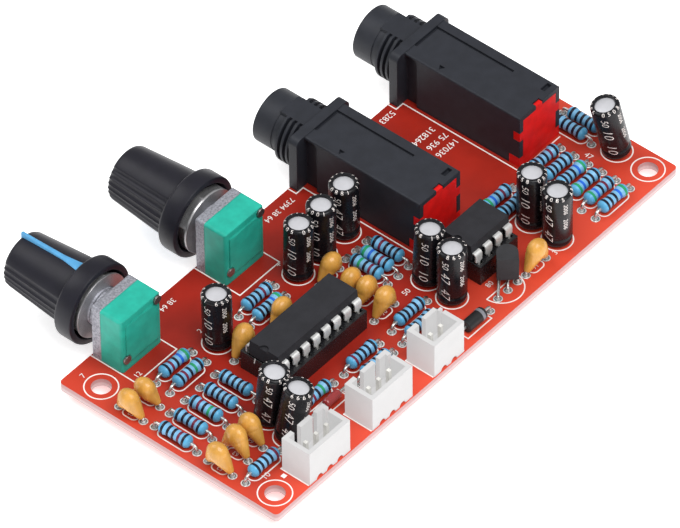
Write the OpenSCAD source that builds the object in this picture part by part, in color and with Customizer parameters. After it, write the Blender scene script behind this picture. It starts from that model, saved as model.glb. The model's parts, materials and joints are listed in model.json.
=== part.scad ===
// A microphone amplifier board: two phone jacks and two knobs look over the front edge,
// three shrouded headers stand along the rear edge. Millimetres, +Z up.
// The origin is the centre of the four mounting holes, on the underside of the board.

/* [Board] */
// Distance between the mounting holes along the board
hole_spacing_x = 93.8; // [93.6:0.1:110]
// Distance between the mounting holes across the board
hole_spacing_y = 36.4; // [36.3:0.1:44]
// From a mounting hole to the short edge beside it
side_margin = 3.6; // [3.5:0.1:8]
// From a rear mounting hole to the edge with the headers
rear_margin = 3.4; // [3.4:0.1:8]
// From a front mounting hole to the edge under the knobs
front_margin = 5.9; // [5.8:0.1:9]
// Thickness of the board
board_thickness = 1.6; // [1.2:0.1:2.4]
// Radius of the corners of the board
corner_r = 0.8; // [0.2:0.1:2]
// Diameter of a mounting hole
mounting_hole_d = 3.4; // [3:0.1:3.6]
// Diameter of the printed ring round a mounting hole
mounting_ring_d = 5.8; // [5:0.1:5.8]
// Width of a printed line
print_line = 0.22; // [0.15:0.01:0.3]
// Thickness of the print
print_height = 0.03; // [0.02:0.01:0.06]

/* [Leads and solder] */
// Diameter of the round wire leads
lead_d = 0.5; // [0.4:0.02:0.6]
// How far the cut leads reach below the board
lead_stub = 1.2; // [1:0.1:1.4]
// Gap between a lead and its solder
lead_clearance = 0.03; // [0.02:0.01:0.05]
// Thickness of the solder barrel inside a hole
barrel_wall = 0.09; // [0.06:0.01:0.15]
// Gap between the barrel and the board
barrel_clearance = 0.03; // [0.02:0.01:0.05]
// How far a solder ring reaches out past its hole
solder_rim = 0.4; // [0.3:0.05:0.45]
// Height of a solder cone under the board
solder_height = 0.9; // [0.5:0.05:1]
// Height of the solder ring on top of the board
solder_top = 0.14; // [0.05:0.01:0.2]

/* [Resistors] */
// Length of a resistor body
resistor_length = 6.3; // [5.5:0.1:6.6]
// Diameter over the end caps of a resistor
resistor_d = 2.3; // [1.8:0.05:2.35]
// Diameter of the waist of a resistor
resistor_waist_d = 1.96; // [1.5:0.02:2]
// Distance between the two holes of a resistor
resistor_pitch = 8.9; // [8.4:0.1:9.2]
// Height of a resistor body above the board
resistor_lift = 0.15; // [0.05:0.05:0.6]
// Width of a colour band
band_width = 0.5; // [0.3:0.05:0.6]
// Thickness of a colour band
band_height = 0.04; // [0.02:0.01:0.06]

/* [Electrolytic capacitors] */
// Diameter of the sleeved can
can_d = 5; // [4:0.1:5.1]
// Height of the can
can_height = 11; // [7:0.5:13]
// Thickness of the shrunk sleeve
sleeve_wall = 0.1; // [0.06:0.02:0.2]
// Diameter of the bare disc that the sleeve leaves on top
bare_disc_d = 3.5; // [2.5:0.1:4]
// Distance between the two leads of a can
can_pitch = 2; // [1.5:0.1:2.5]
// Height of a can above the board
can_lift = 0.55; // [0.5:0.05:1]

/* [Ceramic capacitors] */
// Diameter of a dipped drop
drop_d = 3.8; // [3.4:0.1:4.4]
// Thickness of a dipped drop
drop_thickness = 3; // [2.4:0.1:3]
// Height of the middle of a drop above the board
drop_middle = 4.1; // [3.8:0.1:6]
// Distance between the two holes of a drop
drop_pitch = 5.1; // [4.8:0.1:5.3]

/* [Chips] */
// Distance from pin to pin
chip_pitch = 2.54; // [2.5:0.01:2.56]
// Distance between the two rows of pins
row_spacing = 7.62; // [7.5:0.02:7.7]
// Height of a socket
socket_height = 4; // [3.2:0.1:5]
// Width of a socket
socket_width = 9.9; // [9.8:0.05:10.3]
// Height of a chip body
chip_height = 3.2; // [2.8:0.1:3.6]
// Width of a chip body
chip_width = 6.35; // [6:0.05:6.6]
// Gap between a chip and its socket
chip_gap = 0.35; // [0.2:0.05:0.8]

/* [Headers] */
// Distance from pin to pin of a header
header_pitch = 2.5; // [2.4:0.02:2.54]
// Depth of a header shroud
header_depth = 5.75; // [5.5:0.05:5.9]
// Height of a header shroud
header_height = 7; // [6:0.1:9]
// Thickness of the shroud walls
header_wall = 0.8; // [0.6:0.05:1]
// Thickness of the shroud floor
header_floor = 1.8; // [1.2:0.1:2.2]
// Side of a square header pin
header_pin = 0.64; // [0.5:0.02:0.7]
// How far the header pins, lugs and terminals reach below the board
pin_stub = 1.8; // [1.7:0.1:3]

/* [Potentiometers] */
// Width of a potentiometer case
pot_width = 9.5; // [9.2:0.1:10.5]
// Height of a potentiometer case
pot_height = 11.4; // [11:0.1:13]
// Depth of the moulded rear case
pot_case_depth = 4.7; // [4.6:0.1:5.4]
// Thickness of the die-cast front plate
pot_plate = 1.8; // [1.4:0.05:2]
// Height of the shaft above the board
pot_axis = 6.35; // [6.1:0.05:6.6]
// Diameter of the threaded bush
bush_d = 7; // [6.8:0.1:7.4]
// Length of the threaded bush in front of the plate
bush_length = 6; // [5.8:0.1:6.2]
// Diameter of the shaft
shaft_d = 6; // [5.6:0.1:6.1]
// Radial running gap between the shaft and its bush
shaft_gap = 0.05; // [0.03:0.01:0.08]
// Width across the flats of the nut
nut_flats = 10; // [9:0.1:10.1]
// Thickness of the nut
nut_thickness = 2; // [1.6:0.1:2.2]
// Diameter of the washer
washer_d = 11.6; // [10.6:0.1:11.7]
// Thickness of the washer
washer_thickness = 0.4; // [0.3:0.05:0.6]

/* [Knobs] */
// Diameter of the wide skirt of a knob
skirt_d = 14.7; // [13.8:0.1:15]
// Length of the skirt
skirt_length = 3.45; // [3.2:0.05:4]
// Whole length of a knob
knob_length = 16.5; // [15.5:0.05:18]
// Diameter of the grip where it meets the skirt
grip_root_d = 12.1; // [11.6:0.1:12.4]
// Diameter of the grip at its tip
grip_tip_d = 10; // [9.4:0.1:11]
// Inner diameter of the skirt, round the nut
skirt_bore_d = 12.4; // [12.3:0.05:12.6]
// Distance between the front plate and the skirt
knob_gap = 2.5; // [2.3:0.05:3.1]
// Depth of the flutes
flute_depth = 0.3; // [0.15:0.05:0.4]
// Width of the pointer at the tip
pointer_tip = 0.6; // [0.4:0.1:1.4]
// Width of the pointer at the skirt
pointer_root = 2.1; // [1.6:0.1:2.8]
// Diameter that the outer edge of the pointer sweeps
pointer_sweep_d = 12; // [11.6:0.1:12.4]

/* [Phone jacks] */
// Width of a jack body
jack_width = 10.2; // [9.8:0.1:10.4]
// Height of a jack body
jack_height = 11; // [10.8:0.1:12]
// Length of a jack body behind its flange
jack_body = 24.3; // [22:0.1:24.5]
// Width of the flange
flange_width = 13.2; // [12.6:0.1:13.4]
// Thickness of the flange
flange_depth = 1.75; // [1.4:0.05:2.2]
// Height of the flange
flange_height = 11.15; // [11.05:0.05:13]
// Length of the nose in front of the flange
nose_length = 9.6; // [8:0.1:12]
// Length of the smooth collar of the nose
collar_length = 3.8; // [3:0.1:6]
// Diameter of the smooth collar of the nose
nose_d = 9.8; // [9.6:0.1:10.1]
// Diameter of the bore that takes the plug
plug_bore_d = 6.5; // [6.4:0.05:6.7]
// Height of the bore above the board
jack_axis = 5.15; // [5.05:0.05:5.3]
// Thickness of the jack walls
jack_wall = 0.9; // [0.7:0.05:1]

/* [Hidden] */
$fn = 48;

// Edges and faces of the board
board_length = hole_spacing_x + 2 * side_margin;
board_width = hole_spacing_y + front_margin + rear_margin;
front_y = -hole_spacing_y / 2 - front_margin;
rear_y = hole_spacing_y / 2 + rear_margin;
top = board_thickness;
cut = 0.01;
lead_r = lead_d / 2;
// Where two straight pieces of wire meet at a kink
kink_r = 1.15 * lead_r;

// Where things stand, in the frame of the mounting holes
jack_places = [-38.95, -13.6];
pot_places = [37.85, 12.45];
header_places = [[37.2, 3], [21.8, 3], [7.7, 2]];
long_chip_place = [19.7, 1.15];
short_chip_place = [-13.8, 9.05];
long_chip_pins = 8;
short_chip_pins = 4;

// x, y and the turn of each resistor, which is 0 along the board and 90 across it, and its
// bands from the left or from the front: d dark, r red-brown, g green, b blue
column_step = 3.675;
column_x = 33.45;
column_codes = ["ddddd", "ddddd", "drdgd", "dddrd", "dddrd"];
stack_step = 2.9;
stack_codes = ["drddd", "ddddd", "gbddd", "dddbg", "drdbg", "gbddd"];
resistor_places = concat(
    [[36.4, -11.85, 0, "gbdrd"], [36.6, -8.75, 0, "dgdrd"]],
    [for (i = [0:4]) [column_x + i * column_step, -1.4, 90, column_codes[i]]],
    [[43.8, 13.25, 0, "rdddd"], [16.7, -11.35, 0, "drddd"], [17.3, -8.5, 0, "gbddd"]],
    [[-4.95, -2.05, 90, "drddd"], [-2.2, -1.95, 90, "gbdrd"], [0.3, -2.05, 90, "dgdrd"]],
    [[15.8, 9.95, 0, "ddddr"], [27.2, 9.95, 0, "dgdrd"], [3.6, 9.7, 0, "ddddd"]],
    [[4.6, 12.75, 0, "ddddd"], [15.95, 12.95, 0, "ddddd"]],
    [[-48.2, 3.7, 90, "ddddd"], [-45.45, 3.05, 90, "ddddd"]],
    [for (i = [0:5]) [-37.1, 4.25 + i * stack_step, 0, stack_codes[i]]],
    [[-25.1, 4.15, 0, "drdbg"], [-25.3, 7.1, 0, "ddddd"]]);

// x, y of each can, and how far its top leans along x and y
can_places = [
    [-47, 11.6, 1.9, -1.3], [-25.5, 11.2, 0, 0], [-25.1, 16.9, 0.2, 0.1], [-4.7, 6.5, -0.5, 0.2],
    [-4.1, 12.2, 0, 0], [-4.4, -10.6, 0.2, 0], [1.8, -10.4, 0, 0.1], [7.6, -10.3, -0.3, 0],
    [27.6, -10.2, 0.2, 0], [35.1, 6.9, -0.2, 1.2], [36.1, 12, -1.1, 1.3]];

// x, y and the turn of each ceramic drop, its lean in degrees and how much lower it sits
drop_places = [
    [48.4, -10.55, 90, 8, 0.3], [44.35, -10.55, 90, 12, 0.8], [48.4, 8.1, 90, 8, 0],
    [44.4, 7.9, 90, -3, 0], [40.7, 7.9, 90, 3, 0], [26.6, -5.5, 0, 3, 0],
    [17.2, -5.6, 0, 0, 1.3], [5.1, -5.9, 0, -8, 0.4], [5.1, -1.4, 0, -2, 1.3],
    [5.1, 2, 0, 0, 1], [5.5, 6, 0, -3, 0.3], [-18.05, 18.2, 0, -3, 0]];

transistor_place = [-11.05, 18.1];
transistor_pitch = 2.5;
transistor_r = 1.8;
transistor_height = 4.6;
transistor_base = 2;
transistor_flat = 1.85;
// The body stands beside its pads and is twisted on its legs
transistor_shift = [-1.65, -1.5];
transistor_turn = -47;
rectifier_place = [-1.6, 18.9];
rectifier_pitch = 8;
rectifier_length = 4.4;
rectifier_r = 1.1;
rectifier_band_at = 1.35;
rectifier_band_width = 0.6;
glass_diode_place = [26.1, 12.4];
glass_diode_pitch = 7.6;
glass_diode_length = 3.6;
glass_diode_r = 0.8;

// A round bar from one point to another, with the radius at each end
module rod(from, to, from_r, to_r) {
    way = to - from;
    translate(from)
        rotate([0, acos(way[2] / norm(way)), atan2(way[1], way[0])])
            cylinder(h = norm(way), r1 = from_r, r2 = to_r);
}

// A block centred on x and y, from one height to another
module block(size_x, size_y, low, high) {
    translate([-size_x / 2, -size_y / 2, low]) cube([size_x, size_y, high - low]);
}

// A rectangle about the origin with round corners
module soft_square(size_x, size_y, r) {
    square([size_x - 2 * r, size_y], center = true);
    square([size_x, size_y - 2 * r], center = true);
    for (sx = [-1, 1]) for (sy = [-1, 1])
        translate([sx * (size_x / 2 - r), sy * (size_y / 2 - r)]) circle(r = r, $fn = 24);
}

// A plate that stands in the xz plane, with round upper corners, from y towards the front
module standing_plate(width, height, depth, r) {
    rotate([90, 0, 0])
        linear_extrude(depth)
            intersection() {
                soft_square(width, 2 * height, r);
                translate([-width, 0]) square([2 * width, 2 * height]);
            }
}

// Where a part stands, turned about its own middle
module stand(place, turn = 0) {
    translate([place[0], place[1], top]) rotate(turn) children();
}

// Two points a pitch apart, turned about their middle
function pair(place, pitch, turn) =
    [for (s = [-1, 1]) [place[0] + s * pitch / 2 * cos(turn), place[1] + s * pitch / 2 * sin(turn)]];

// Joins a list of lists into one list
function flat(lists) = [for (part = lists) for (item = part) item];

// Adds the radius of its lead to each point, and whether a part stands right over it
function drill(points, r, covered) = [for (p = points) [p[0], p[1], r, covered]];

// Pins of a chip, both rows
function chip_points(place, pins) =
    [for (side = [-1, 1]) for (i = [0:pins - 1])
        [place[0] + (i - (pins - 1) / 2) * chip_pitch, place[1] + side * row_spacing / 2]];

// Pins of a header
function header_points(place) =
    [for (i = [0:place[1] - 1])
        [place[0] + (i - (place[1] - 1) / 2) * header_pitch, header_y()]];
function header_y() = rear_y - header_setback - header_depth / 2;
header_ends = 4.9;
function header_length(pins) = (pins - 1) * header_pitch + header_ends;
header_setback = 0.2;

// Terminals of a potentiometer
pot_terminal_pitch = 2.5;
function pot_points(x) = [for (i = [-1:1]) [x + i * pot_terminal_pitch, terminal_y()]];
pot_setback = 0.4;
plate_y = front_y + pot_setback;
case_y = plate_y + pot_plate;
wafer_thickness = 0.9;
wafer_gap = 0.05;
case_wall = 0.95;
function wafer_y() = case_y + pot_case_depth - case_wall - wafer_gap - wafer_thickness;
terminal_width = 0.8;
terminal_thickness = 0.3;
function terminal_y() = wafer_y() - terminal_thickness / 2;

// Lugs of a jack: sleeve at the front, then two at each side near the rear
flange_overhang = 0.15;
flange_y = front_y - flange_overhang;
nose_y = flange_y - nose_length;
jack_rear_y = flange_y + flange_depth + jack_body;
lug_width = 1.1;
lug_thickness = 0.4;
spring_inset = 0.15;
function lug_x() = jack_width / 2 - jack_wall - spring_inset - lug_thickness / 2;
lug_steps = [6.85, 19.85];
function jack_points(x) =
    [for (s = [-1, 1]) for (step = lug_steps) [x + s * lug_x(), flange_y + flange_depth + step]];

// Every hole that is drilled for a lead, with the radius of what goes through it
square_r = header_pin / sqrt(2);
terminal_r = norm([terminal_width, terminal_thickness]) / 2;
lug_r = norm([lug_width, lug_thickness]) / 2;
lead_points = concat(
    drill(flat([for (p = resistor_places) pair(p, resistor_pitch, p[2])]), lead_r, false),
    drill(flat([for (p = can_places) pair(p, can_pitch, 0)]), lead_r, false),
    drill(flat([for (p = drop_places) pair(p, drop_pitch, p[2])]), lead_r, false),
    drill(pair(rectifier_place, rectifier_pitch, 0), lead_r, false),
    drill(pair(glass_diode_place, glass_diode_pitch, 0), lead_r, false),
    drill([for (i = [-1:1]) transistor_place + [i * transistor_pitch, 0]], lead_r, false),
    drill(chip_points(long_chip_place, long_chip_pins), lead_r, true),
    drill(chip_points(short_chip_place, short_chip_pins), lead_r, true),
    drill(flat([for (p = header_places) header_points(p)]), square_r, true),
    drill(flat([for (x = pot_places) pot_points(x)]), terminal_r, true),
    drill(flat([for (x = jack_places) jack_points(x)]), lug_r, true));
function drilled_r(r) = r + lead_clearance + barrel_wall + barrel_clearance;

module mounting_places() {
    for (sx = [-1, 1]) for (sy = [-1, 1])
        translate([sx * hole_spacing_x / 2, sy * hole_spacing_y / 2, 0]) children();
}

module pcb() {
    color([0.78, 0.17, 0.1])
        difference() {
            translate([0, front_y + board_width / 2, 0])
                linear_extrude(board_thickness) soft_square(board_length, board_width, corner_r);
            mounting_places()
                translate([0, 0, -1]) cylinder(h = board_thickness + 2, d = mounting_hole_d);
            for (p = lead_points)
                translate([p[0], p[1], -1])
                    cylinder(h = board_thickness + 2, r = drilled_r(p[2]), $fn = 24);
        }
}

// A slot with round ends, drawn flat along x
module slot_shape(length, width) {
    square([length - width, width], center = true);
    for (s = [-1, 1]) translate([s * (length - width) / 2, 0]) circle(d = width, $fn = 24);
}

// A printed line of the given width, as the rim of a shape
module slot_outline(length, width) {
    linear_extrude(print_height)
        difference() {
            slot_shape(length, width);
            slot_shape(length - 2 * print_line, width - 2 * print_line);
        }
}

module ring_outline(d) {
    difference() {
        cylinder(h = print_height, d = d);
        translate([0, 0, -1]) cylinder(h = print_height + 2, d = d - 2 * print_line);
    }
}

module frame_outline(size_x, size_y) {
    difference() {
        block(size_x, size_y, 0, print_height);
        block(size_x - 2 * print_line, size_y - 2 * print_line, -1, print_height + 1);
    }
}

// The printed outlines keep this far from what they go round
print_margin = 0.25;
print_gap = 0.05;
pot_print_depth = 9.8;
jack_print_left = -4.7;
jack_print_right = 5.9;
jack_print_rear = 0.65;
jack_shoulder_width = 15.3;
jack_shoulder_depth = 1.8;
transistor_print_d = 7.7;
transistor_print_shift = -1.3;
drop_print_width = 2.05;
diode_print_width = 2.6;

// A printed frame that is open towards the front, with its open end at the origin
module open_frame(size_x, size_y) {
    difference() {
        translate([0, size_y / 2, 0]) frame_outline(size_x, size_y);
        block(size_x - 2 * print_line, 2 * print_line + cut, -1, 1);
    }
}

// The print round a jack: a shoulder on both sides of its flange, then a line back along the
// right side and one across behind the body
module jack_print() {
    back = jack_rear_y - front_y - print_gap + jack_print_rear;
    shoulder_starts = [jack_print_right - print_line, jack_width / 2 + print_gap];
    for (s = [0, 1]) mirror([s, 0, 0]) {
        translate([jack_shoulder_width / 2 - print_line, 0, 0])
            cube([print_line, jack_shoulder_depth, print_height]);
        translate([shoulder_starts[s], jack_shoulder_depth - print_line, 0])
            cube([jack_shoulder_width / 2 - shoulder_starts[s], print_line, print_height]);
    }
    translate([jack_print_right - print_line, jack_shoulder_depth - cut, 0])
        cube([print_line, back - jack_shoulder_depth, print_height]);
    translate([jack_print_left, back - print_line, 0])
        cube([jack_print_right - jack_print_left, print_line, print_height]);
}

// Room for print between the solder of two leads
function print_length(pitch) = pitch - 2 * (drilled_r(lead_r) + solder_rim) - print_margin;

module board_print() {
    color([0.96, 0.93, 0.9]) {
        translate([0, 0, top]) mounting_places() ring_outline(mounting_ring_d);
        for (p = resistor_places)
            stand(p, p[2])
                slot_outline(print_length(resistor_pitch), resistor_d + print_margin);
        for (p = drop_places) stand(p, p[2]) slot_outline(print_length(drop_pitch), drop_print_width);
        for (p = can_places) stand(p) ring_outline(can_d + 2 * print_margin);
        stand(glass_diode_place) frame_outline(print_length(glass_diode_pitch), diode_print_width);
        stand(rectifier_place) frame_outline(print_length(rectifier_pitch), diode_print_width);
        for (p = header_places)
            stand([p[0], header_y()])
                difference() {
                    frame_outline(header_length(p[1]) + 2 * print_margin,
                                  header_depth + 2 * print_margin);
                    translate([0, header_depth, 0])
                        block(2 * header_length(p[1]), header_depth + print_line, -1, 1);
                }
        for (x = pot_places)
            translate([x, front_y + print_gap, top])
                open_frame(pot_width + 2 * print_line + 2 * print_gap, pot_print_depth);
        for (x = jack_places) translate([x, front_y + print_gap, top]) jack_print();
        stand(transistor_place + [0, transistor_print_shift]) {
            difference() {
                ring_outline(transistor_print_d);
                translate([0, -transistor_print_d, 0])
                    block(2 * transistor_print_d, 2 * transistor_print_d, -1, 1);
            }
            block(transistor_print_d, print_line, 0, print_height);
        }
    }
}

// Solder round one lead: a barrel in the hole and a cone underneath. On top there are a flat
// ring and a low cone, but a part that stands right over the lead leaves no room for them.
pad_ring = 0.2;
module solder_joint(r, covered) {
    inner = r + lead_clearance;
    outer = inner + barrel_wall;
    rim = drilled_r(r) + solder_rim;
    below = [[inner, -solder_height], [outer, -solder_height], [rim, -print_height],
             [rim, 0], [outer, 0], [outer, top]];
    above = [[rim, top], [rim, top + print_height], [rim - pad_ring, top + print_height],
             [outer, top + solder_top], [inner, top + solder_top]];
    rotate_extrude($fn = 24)
        polygon(concat(below, covered ? [[inner, top]] : above));
}

module solder_joints() {
    color([0.78, 0.78, 0.76])
        for (p = lead_points) translate([p[0], p[1], 0]) solder_joint(p[2], p[3]);
}

// Phone jack
thread_d = nose_d + 1.7;
thread_root_d = nose_d - 0.2;
thread_pitch = 1.1;
thread_ridge = 0.5;
thread_start = 0.4;
thread_web = 4.6;
front_block = 2.35;
flange_corner = 1.2;
// The flange reaches further out on the right
flange_shift = 0.45;
body_corner = 0.3;
hollow_width = 2.5;
hollow_depth = 0.6;
hollow_top = 10.5;
hollow_corner = 0.8;
cap_thickness = 0.9;
cap_gap = 0.05;
cap_root = 0.25;
// Bottom, top and reach of the side tabs; left, right and reach of the tooth in the roof, and how
// far it stays below the roof
cap_side_tabs = [[0, 2, 2.2], [5.8, 7.6, 1.3]];
cap_roof_tooth = [-0.7, 0.9, 0.8];
cap_tooth_drop = 0.3;
chamber_roof = jack_height - jack_wall;
groove_width = 0.55;
groove_depth = 0.5;
// The groove in the roof: across it behind the flange, then back along it
groove_left = -3.15;
groove_right = 2.65;
groove_front = 1.75;
groove_length = 16.4;
// The small pocket near the rear of the roof, and the three-cornered mark
pocket = [1.9, 0.9, 0.7];
pocket_x = -3.45;
pocket_inset = 1.5;
mark_place = [3.85, 8.5];
mark_r = 0.65;
lug_gap = 0.1;

// Tabs and tooth of the end cap, or the notches for them when grown by a gap
module cap_tabs(grow) {
    inner = jack_width / 2 - jack_wall - cap_root;
    for (s = [0, 1]) for (tab = cap_side_tabs)
        mirror([s, 0, 0])
            translate([inner, jack_rear_y - tab[2] - grow, top + tab[0] - grow])
                cube([jack_wall + cap_root + grow, tab[2] + 2 * grow, tab[1] - tab[0] + 2 * grow]);
    tooth = cap_roof_tooth;
    tooth_top = top + jack_height + (grow > 0 ? cut : -cap_tooth_drop);
    translate([tooth[0] - grow, jack_rear_y - tooth[2] - grow, top + chamber_roof - cap_root])
        cube([tooth[1] - tooth[0] + 2 * grow, tooth[2] + 2 * grow,
              tooth_top - top - chamber_roof + cap_root]);
}

module jack_housing(x) {
    body_y = flange_y + flange_depth;
    chamber_y = body_y + front_block;
    chamber_width = jack_width - 2 * jack_wall;
    roof_z = top + jack_height;
    color([0.16, 0.16, 0.18])
        translate([x, 0, 0])
            difference() {
                union() {
                    translate([0, jack_rear_y, top])
                        standing_plate(jack_width, jack_height, jack_rear_y - flange_y, body_corner);
                    translate([0, body_y, top])
                        translate([flange_shift, 0, 0])
                            standing_plate(flange_width, flange_height, flange_depth,
                                           flange_corner);
                    translate([0, flange_y + cut, top + jack_axis])
                        rotate([90, 0, 0]) jack_nose();
                }
                translate([0, chamber_y + cut, top + jack_axis])
                    rotate([90, 0, 0]) cylinder(h = 3 * nose_length, d = plug_bore_d);
                translate([-chamber_width / 2, chamber_y, top + jack_wall])
                    cube([chamber_width, jack_rear_y - chamber_y + 1, chamber_roof - jack_wall]);
                translate([-chamber_width / 2, jack_rear_y - cap_thickness - cap_gap, 0])
                    cube([chamber_width, 2 * cap_thickness, top + chamber_roof]);
                for (s = [-1, 1]) for (step = lug_steps)
                    translate([s * lug_x(), body_y + step, top])
                        cube([lug_thickness + 2 * lug_gap, lug_width + 2 * lug_gap, 3 * jack_wall],
                             center = true);
                cap_tabs(cap_gap);
                for (s = [0, 1])
                    mirror([s, 0, 0])
                        translate([jack_width / 2 - hollow_depth, body_y + hollow_width / 2, top])
                            rotate([0, 0, 90]) side_hollow();
                translate([groove_left, flange_y + groove_front, roof_z - groove_depth])
                    cube([groove_right - groove_left, groove_width, 1]);
                translate([groove_left, flange_y + groove_front, roof_z - groove_depth])
                    cube([groove_width, groove_length, 1]);
                translate([pocket_x, jack_rear_y - pocket_inset, roof_z])
                    cube([pocket[0], pocket[1], 2 * pocket[2]], center = true);
                translate([mark_place[0], flange_y + mark_place[1], roof_z - groove_depth])
                    cylinder(h = 1, r = mark_r, $fn = 3);
            }
}

// The hollow in the side of the body right behind the flange, to be cut out
module side_hollow() {
    translate([0, 0, -1])
        standing_plate(hollow_width, hollow_top + 1, 2 * hollow_depth, hollow_corner);
}

// Collar, thread ridges and root of the nose, along +Z from the flange, with the thread
// flattened on its upper side, which is +Y
module jack_nose() {
    root_length = nose_length - collar_length;
    ridges = floor((root_length - thread_start) / thread_pitch);
    cylinder(h = nose_length + cut, d = thread_root_d);
    translate([0, 0, root_length]) cylinder(h = collar_length + cut, d = nose_d);
    difference() {
        for (i = [0:ridges - 1])
            translate([0, 0, thread_start + i * thread_pitch])
                cylinder(h = thread_ridge, d = thread_d);
        translate([-thread_d, nose_d / 2, -1]) cube([2 * thread_d, thread_d, nose_length]);
    }
    translate([-thread_web / 2, 0, 0]) cube([thread_web, nose_d / 2, root_length]);
}

module jack_end_cap(x) {
    inner_width = jack_width - 2 * jack_wall - 2 * cap_gap;
    color([0.8, 0.1, 0.09])
        translate([x, 0, 0]) {
            translate([-inner_width / 2, jack_rear_y - cap_thickness, top])
                cube([inner_width, cap_thickness, chamber_roof - cap_gap]);
            cap_tabs(0);
        }
}

// Four contact springs that stand beside the plug, each with a lug through the board
module jack_contacts(x) {
    spring_height = 4;
    spring_length = 6;
    color([0.8, 0.79, 0.74])
        for (s = [-1, 1]) for (step = lug_steps)
            translate([x + s * lug_x(), flange_y + flange_depth + step, 0]) {
                block(lug_thickness, lug_width, -pin_stub, top + jack_axis);
                block(lug_thickness, spring_length, top + jack_axis - spring_height / 2,
                      top + jack_axis + spring_height / 2);
            }
}

// Potentiometer. Axis of the shaft, pointing to the front
module on_axis(x, y) {
    translate([x, y, top + pot_axis]) rotate([90, 0, 0]) children();
}

rivet_r = 0.6;
rivet_head_r = 0.8;
rivet_head = 0.35;
rivet_gap = 0.05;
rivet_inset = 1;
rivet_x = pot_width / 2 - rivet_inset;
rivet_heights = [2.6, 10.4];
rotor_d = 6.8;
rotor_thickness = 1.4;
rotor_gap = 0.15;
cavity_d = 7.6;

module rivet_places(x) {
    for (i = [0, 1])
        translate([x + (1 - 2 * i) * rivet_x, 0, top + rivet_heights[i]]) children();
}

// The bush, along +Z from the plate, with a groove for each turn of its thread
bush_groove = 0.2;
bush_pitch = 0.75;
module threaded_bush() {
    grooves = floor(bush_length / bush_pitch);
    difference() {
        cylinder(h = bush_length, d = bush_d);
        for (i = [0:grooves - 1])
            translate([0, 0, i * bush_pitch])
                rotate_extrude()
                    polygon([[bush_d / 2 - bush_groove, bush_pitch / 2], [bush_d, bush_pitch / 2 - bush_d],
                             [bush_d, bush_pitch / 2 + bush_d]]);
    }
}

plate_edge = 0.5;
module pot_front_plate(x) {
    color([0.62, 0.62, 0.64])
        difference() {
            union() {
                translate([x, case_y, top])
                    standing_plate(pot_width, pot_height, pot_plate, plate_edge);
                on_axis(x, plate_y + cut) threaded_bush();
            }
            on_axis(x, case_y + 1) cylinder(h = bush_length + pot_plate + 2, d = shaft_d + 2 * shaft_gap);
            rivet_places(x)
                translate([0, case_y + 1, 0]) rotate([90, 0, 0])
                    cylinder(h = pot_plate + 2, r = rivet_r + rivet_gap, $fn = 24);
        }
}

// The raised face of the case, and how far its edges stand in from the edges of the case
face_rise = 0.15;
face_side = 0.9;
face_bottom = 1.6;
face_top = 1.4;
face_cut = 1.1;
case_edge = 0.5;
module pot_rear_case(x) {
    half = pot_width / 2 - face_side;
    high = pot_height - face_top;
    color([0.14, 0.65, 0.55])
        difference() {
            union() {
                intersection() {
                    translate([x, case_y + pot_case_depth - face_rise, top])
                        standing_plate(pot_width, pot_height, pot_case_depth - face_rise, case_edge);
                    translate([x, case_y, top])
                        linear_extrude(pot_height)
                            soft_square(pot_width, 2 * (pot_case_depth - face_rise), case_edge);
                }
                translate([x, case_y + pot_case_depth, top])
                    rotate([90, 0, 0])
                        linear_extrude(pot_case_depth)
                            polygon([[-half, face_bottom], [half - face_cut, face_bottom],
                                     [half, face_bottom + face_cut], [half, high],
                                     [face_cut - half, high], [-half, high - face_cut]]);
            }
            on_axis(x, case_y + pot_case_depth - case_wall)
                cylinder(h = pot_case_depth, d = cavity_d);
            rivet_places(x)
                translate([0, case_y + pot_case_depth + 1, 0]) rotate([90, 0, 0])
                    cylinder(h = pot_case_depth + 2, r = rivet_r + rivet_gap, $fn = 24);
            rivet_places(x)
                translate([0, case_y + pot_case_depth + 1, 0]) rotate([90, 0, 0])
                    cylinder(h = 1 + face_rise + rivet_gap, r = rivet_head_r + rivet_gap, $fn = 24);
            for (p = pot_points(x))
                translate([p[0], p[1], top])
                    block(terminal_width + 2 * rivet_gap, terminal_thickness + 2 * rivet_gap, -1, pot_axis);
        }
}

module pot_wafers() {
    color([0.62, 0.45, 0.25])
        for (x = pot_places)
            on_axis(x, wafer_y() + wafer_thickness)
                cylinder(h = wafer_thickness, d = cavity_d - 2 * wafer_gap);
}

// Each terminal runs from the face of the wafer down through the board
terminal_drop = 2;
module pot_terminals() {
    color([0.82, 0.81, 0.77])
        for (x = pot_places) for (p = pot_points(x))
            translate([p[0], p[1], 0])
                block(terminal_width, terminal_thickness, -pin_stub, top + pot_axis - terminal_drop);
}

module pot_rivets() {
    back = case_y + pot_case_depth - face_rise;
    color([0.75, 0.7, 0.66])
        for (x = pot_places) rivet_places(x)
            translate([0, back, 0]) rotate([90, 0, 0]) {
                cylinder(h = back - plate_y, r = rivet_r, $fn = 24);
                translate([0, 0, -rivet_head]) cylinder(h = rivet_head, r = rivet_head_r, $fn = 24);
            }
}

// Room between the front plate and the washer of each potentiometer, and the turn of its nut
washer_stand_offs = [2.1, 1.2];
nut_turns = [44, 20];
thread_gap = 0.06;

module pot_washers() {
    color([0.8, 0.8, 0.8])
        for (i = [0, 1])
            on_axis(pot_places[i], plate_y - washer_stand_offs[i])
                difference() {
                    cylinder(h = washer_thickness, d = washer_d);
                    translate([0, 0, -1])
                        cylinder(h = washer_thickness + 2, d = bush_d + 2 * thread_gap);
                }
}

module pot_nuts() {
    color([0.84, 0.84, 0.84])
        for (i = [0, 1])
            on_axis(pot_places[i], plate_y - washer_stand_offs[i] - washer_thickness)
                difference() {
                    rotate(nut_turns[i]) cylinder(h = nut_thickness, d = nut_flats / cos(30), $fn = 6);
                    translate([0, 0, -1]) cylinder(h = nut_thickness + 2, d = bush_d + 2 * thread_gap);
                }
}

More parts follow.
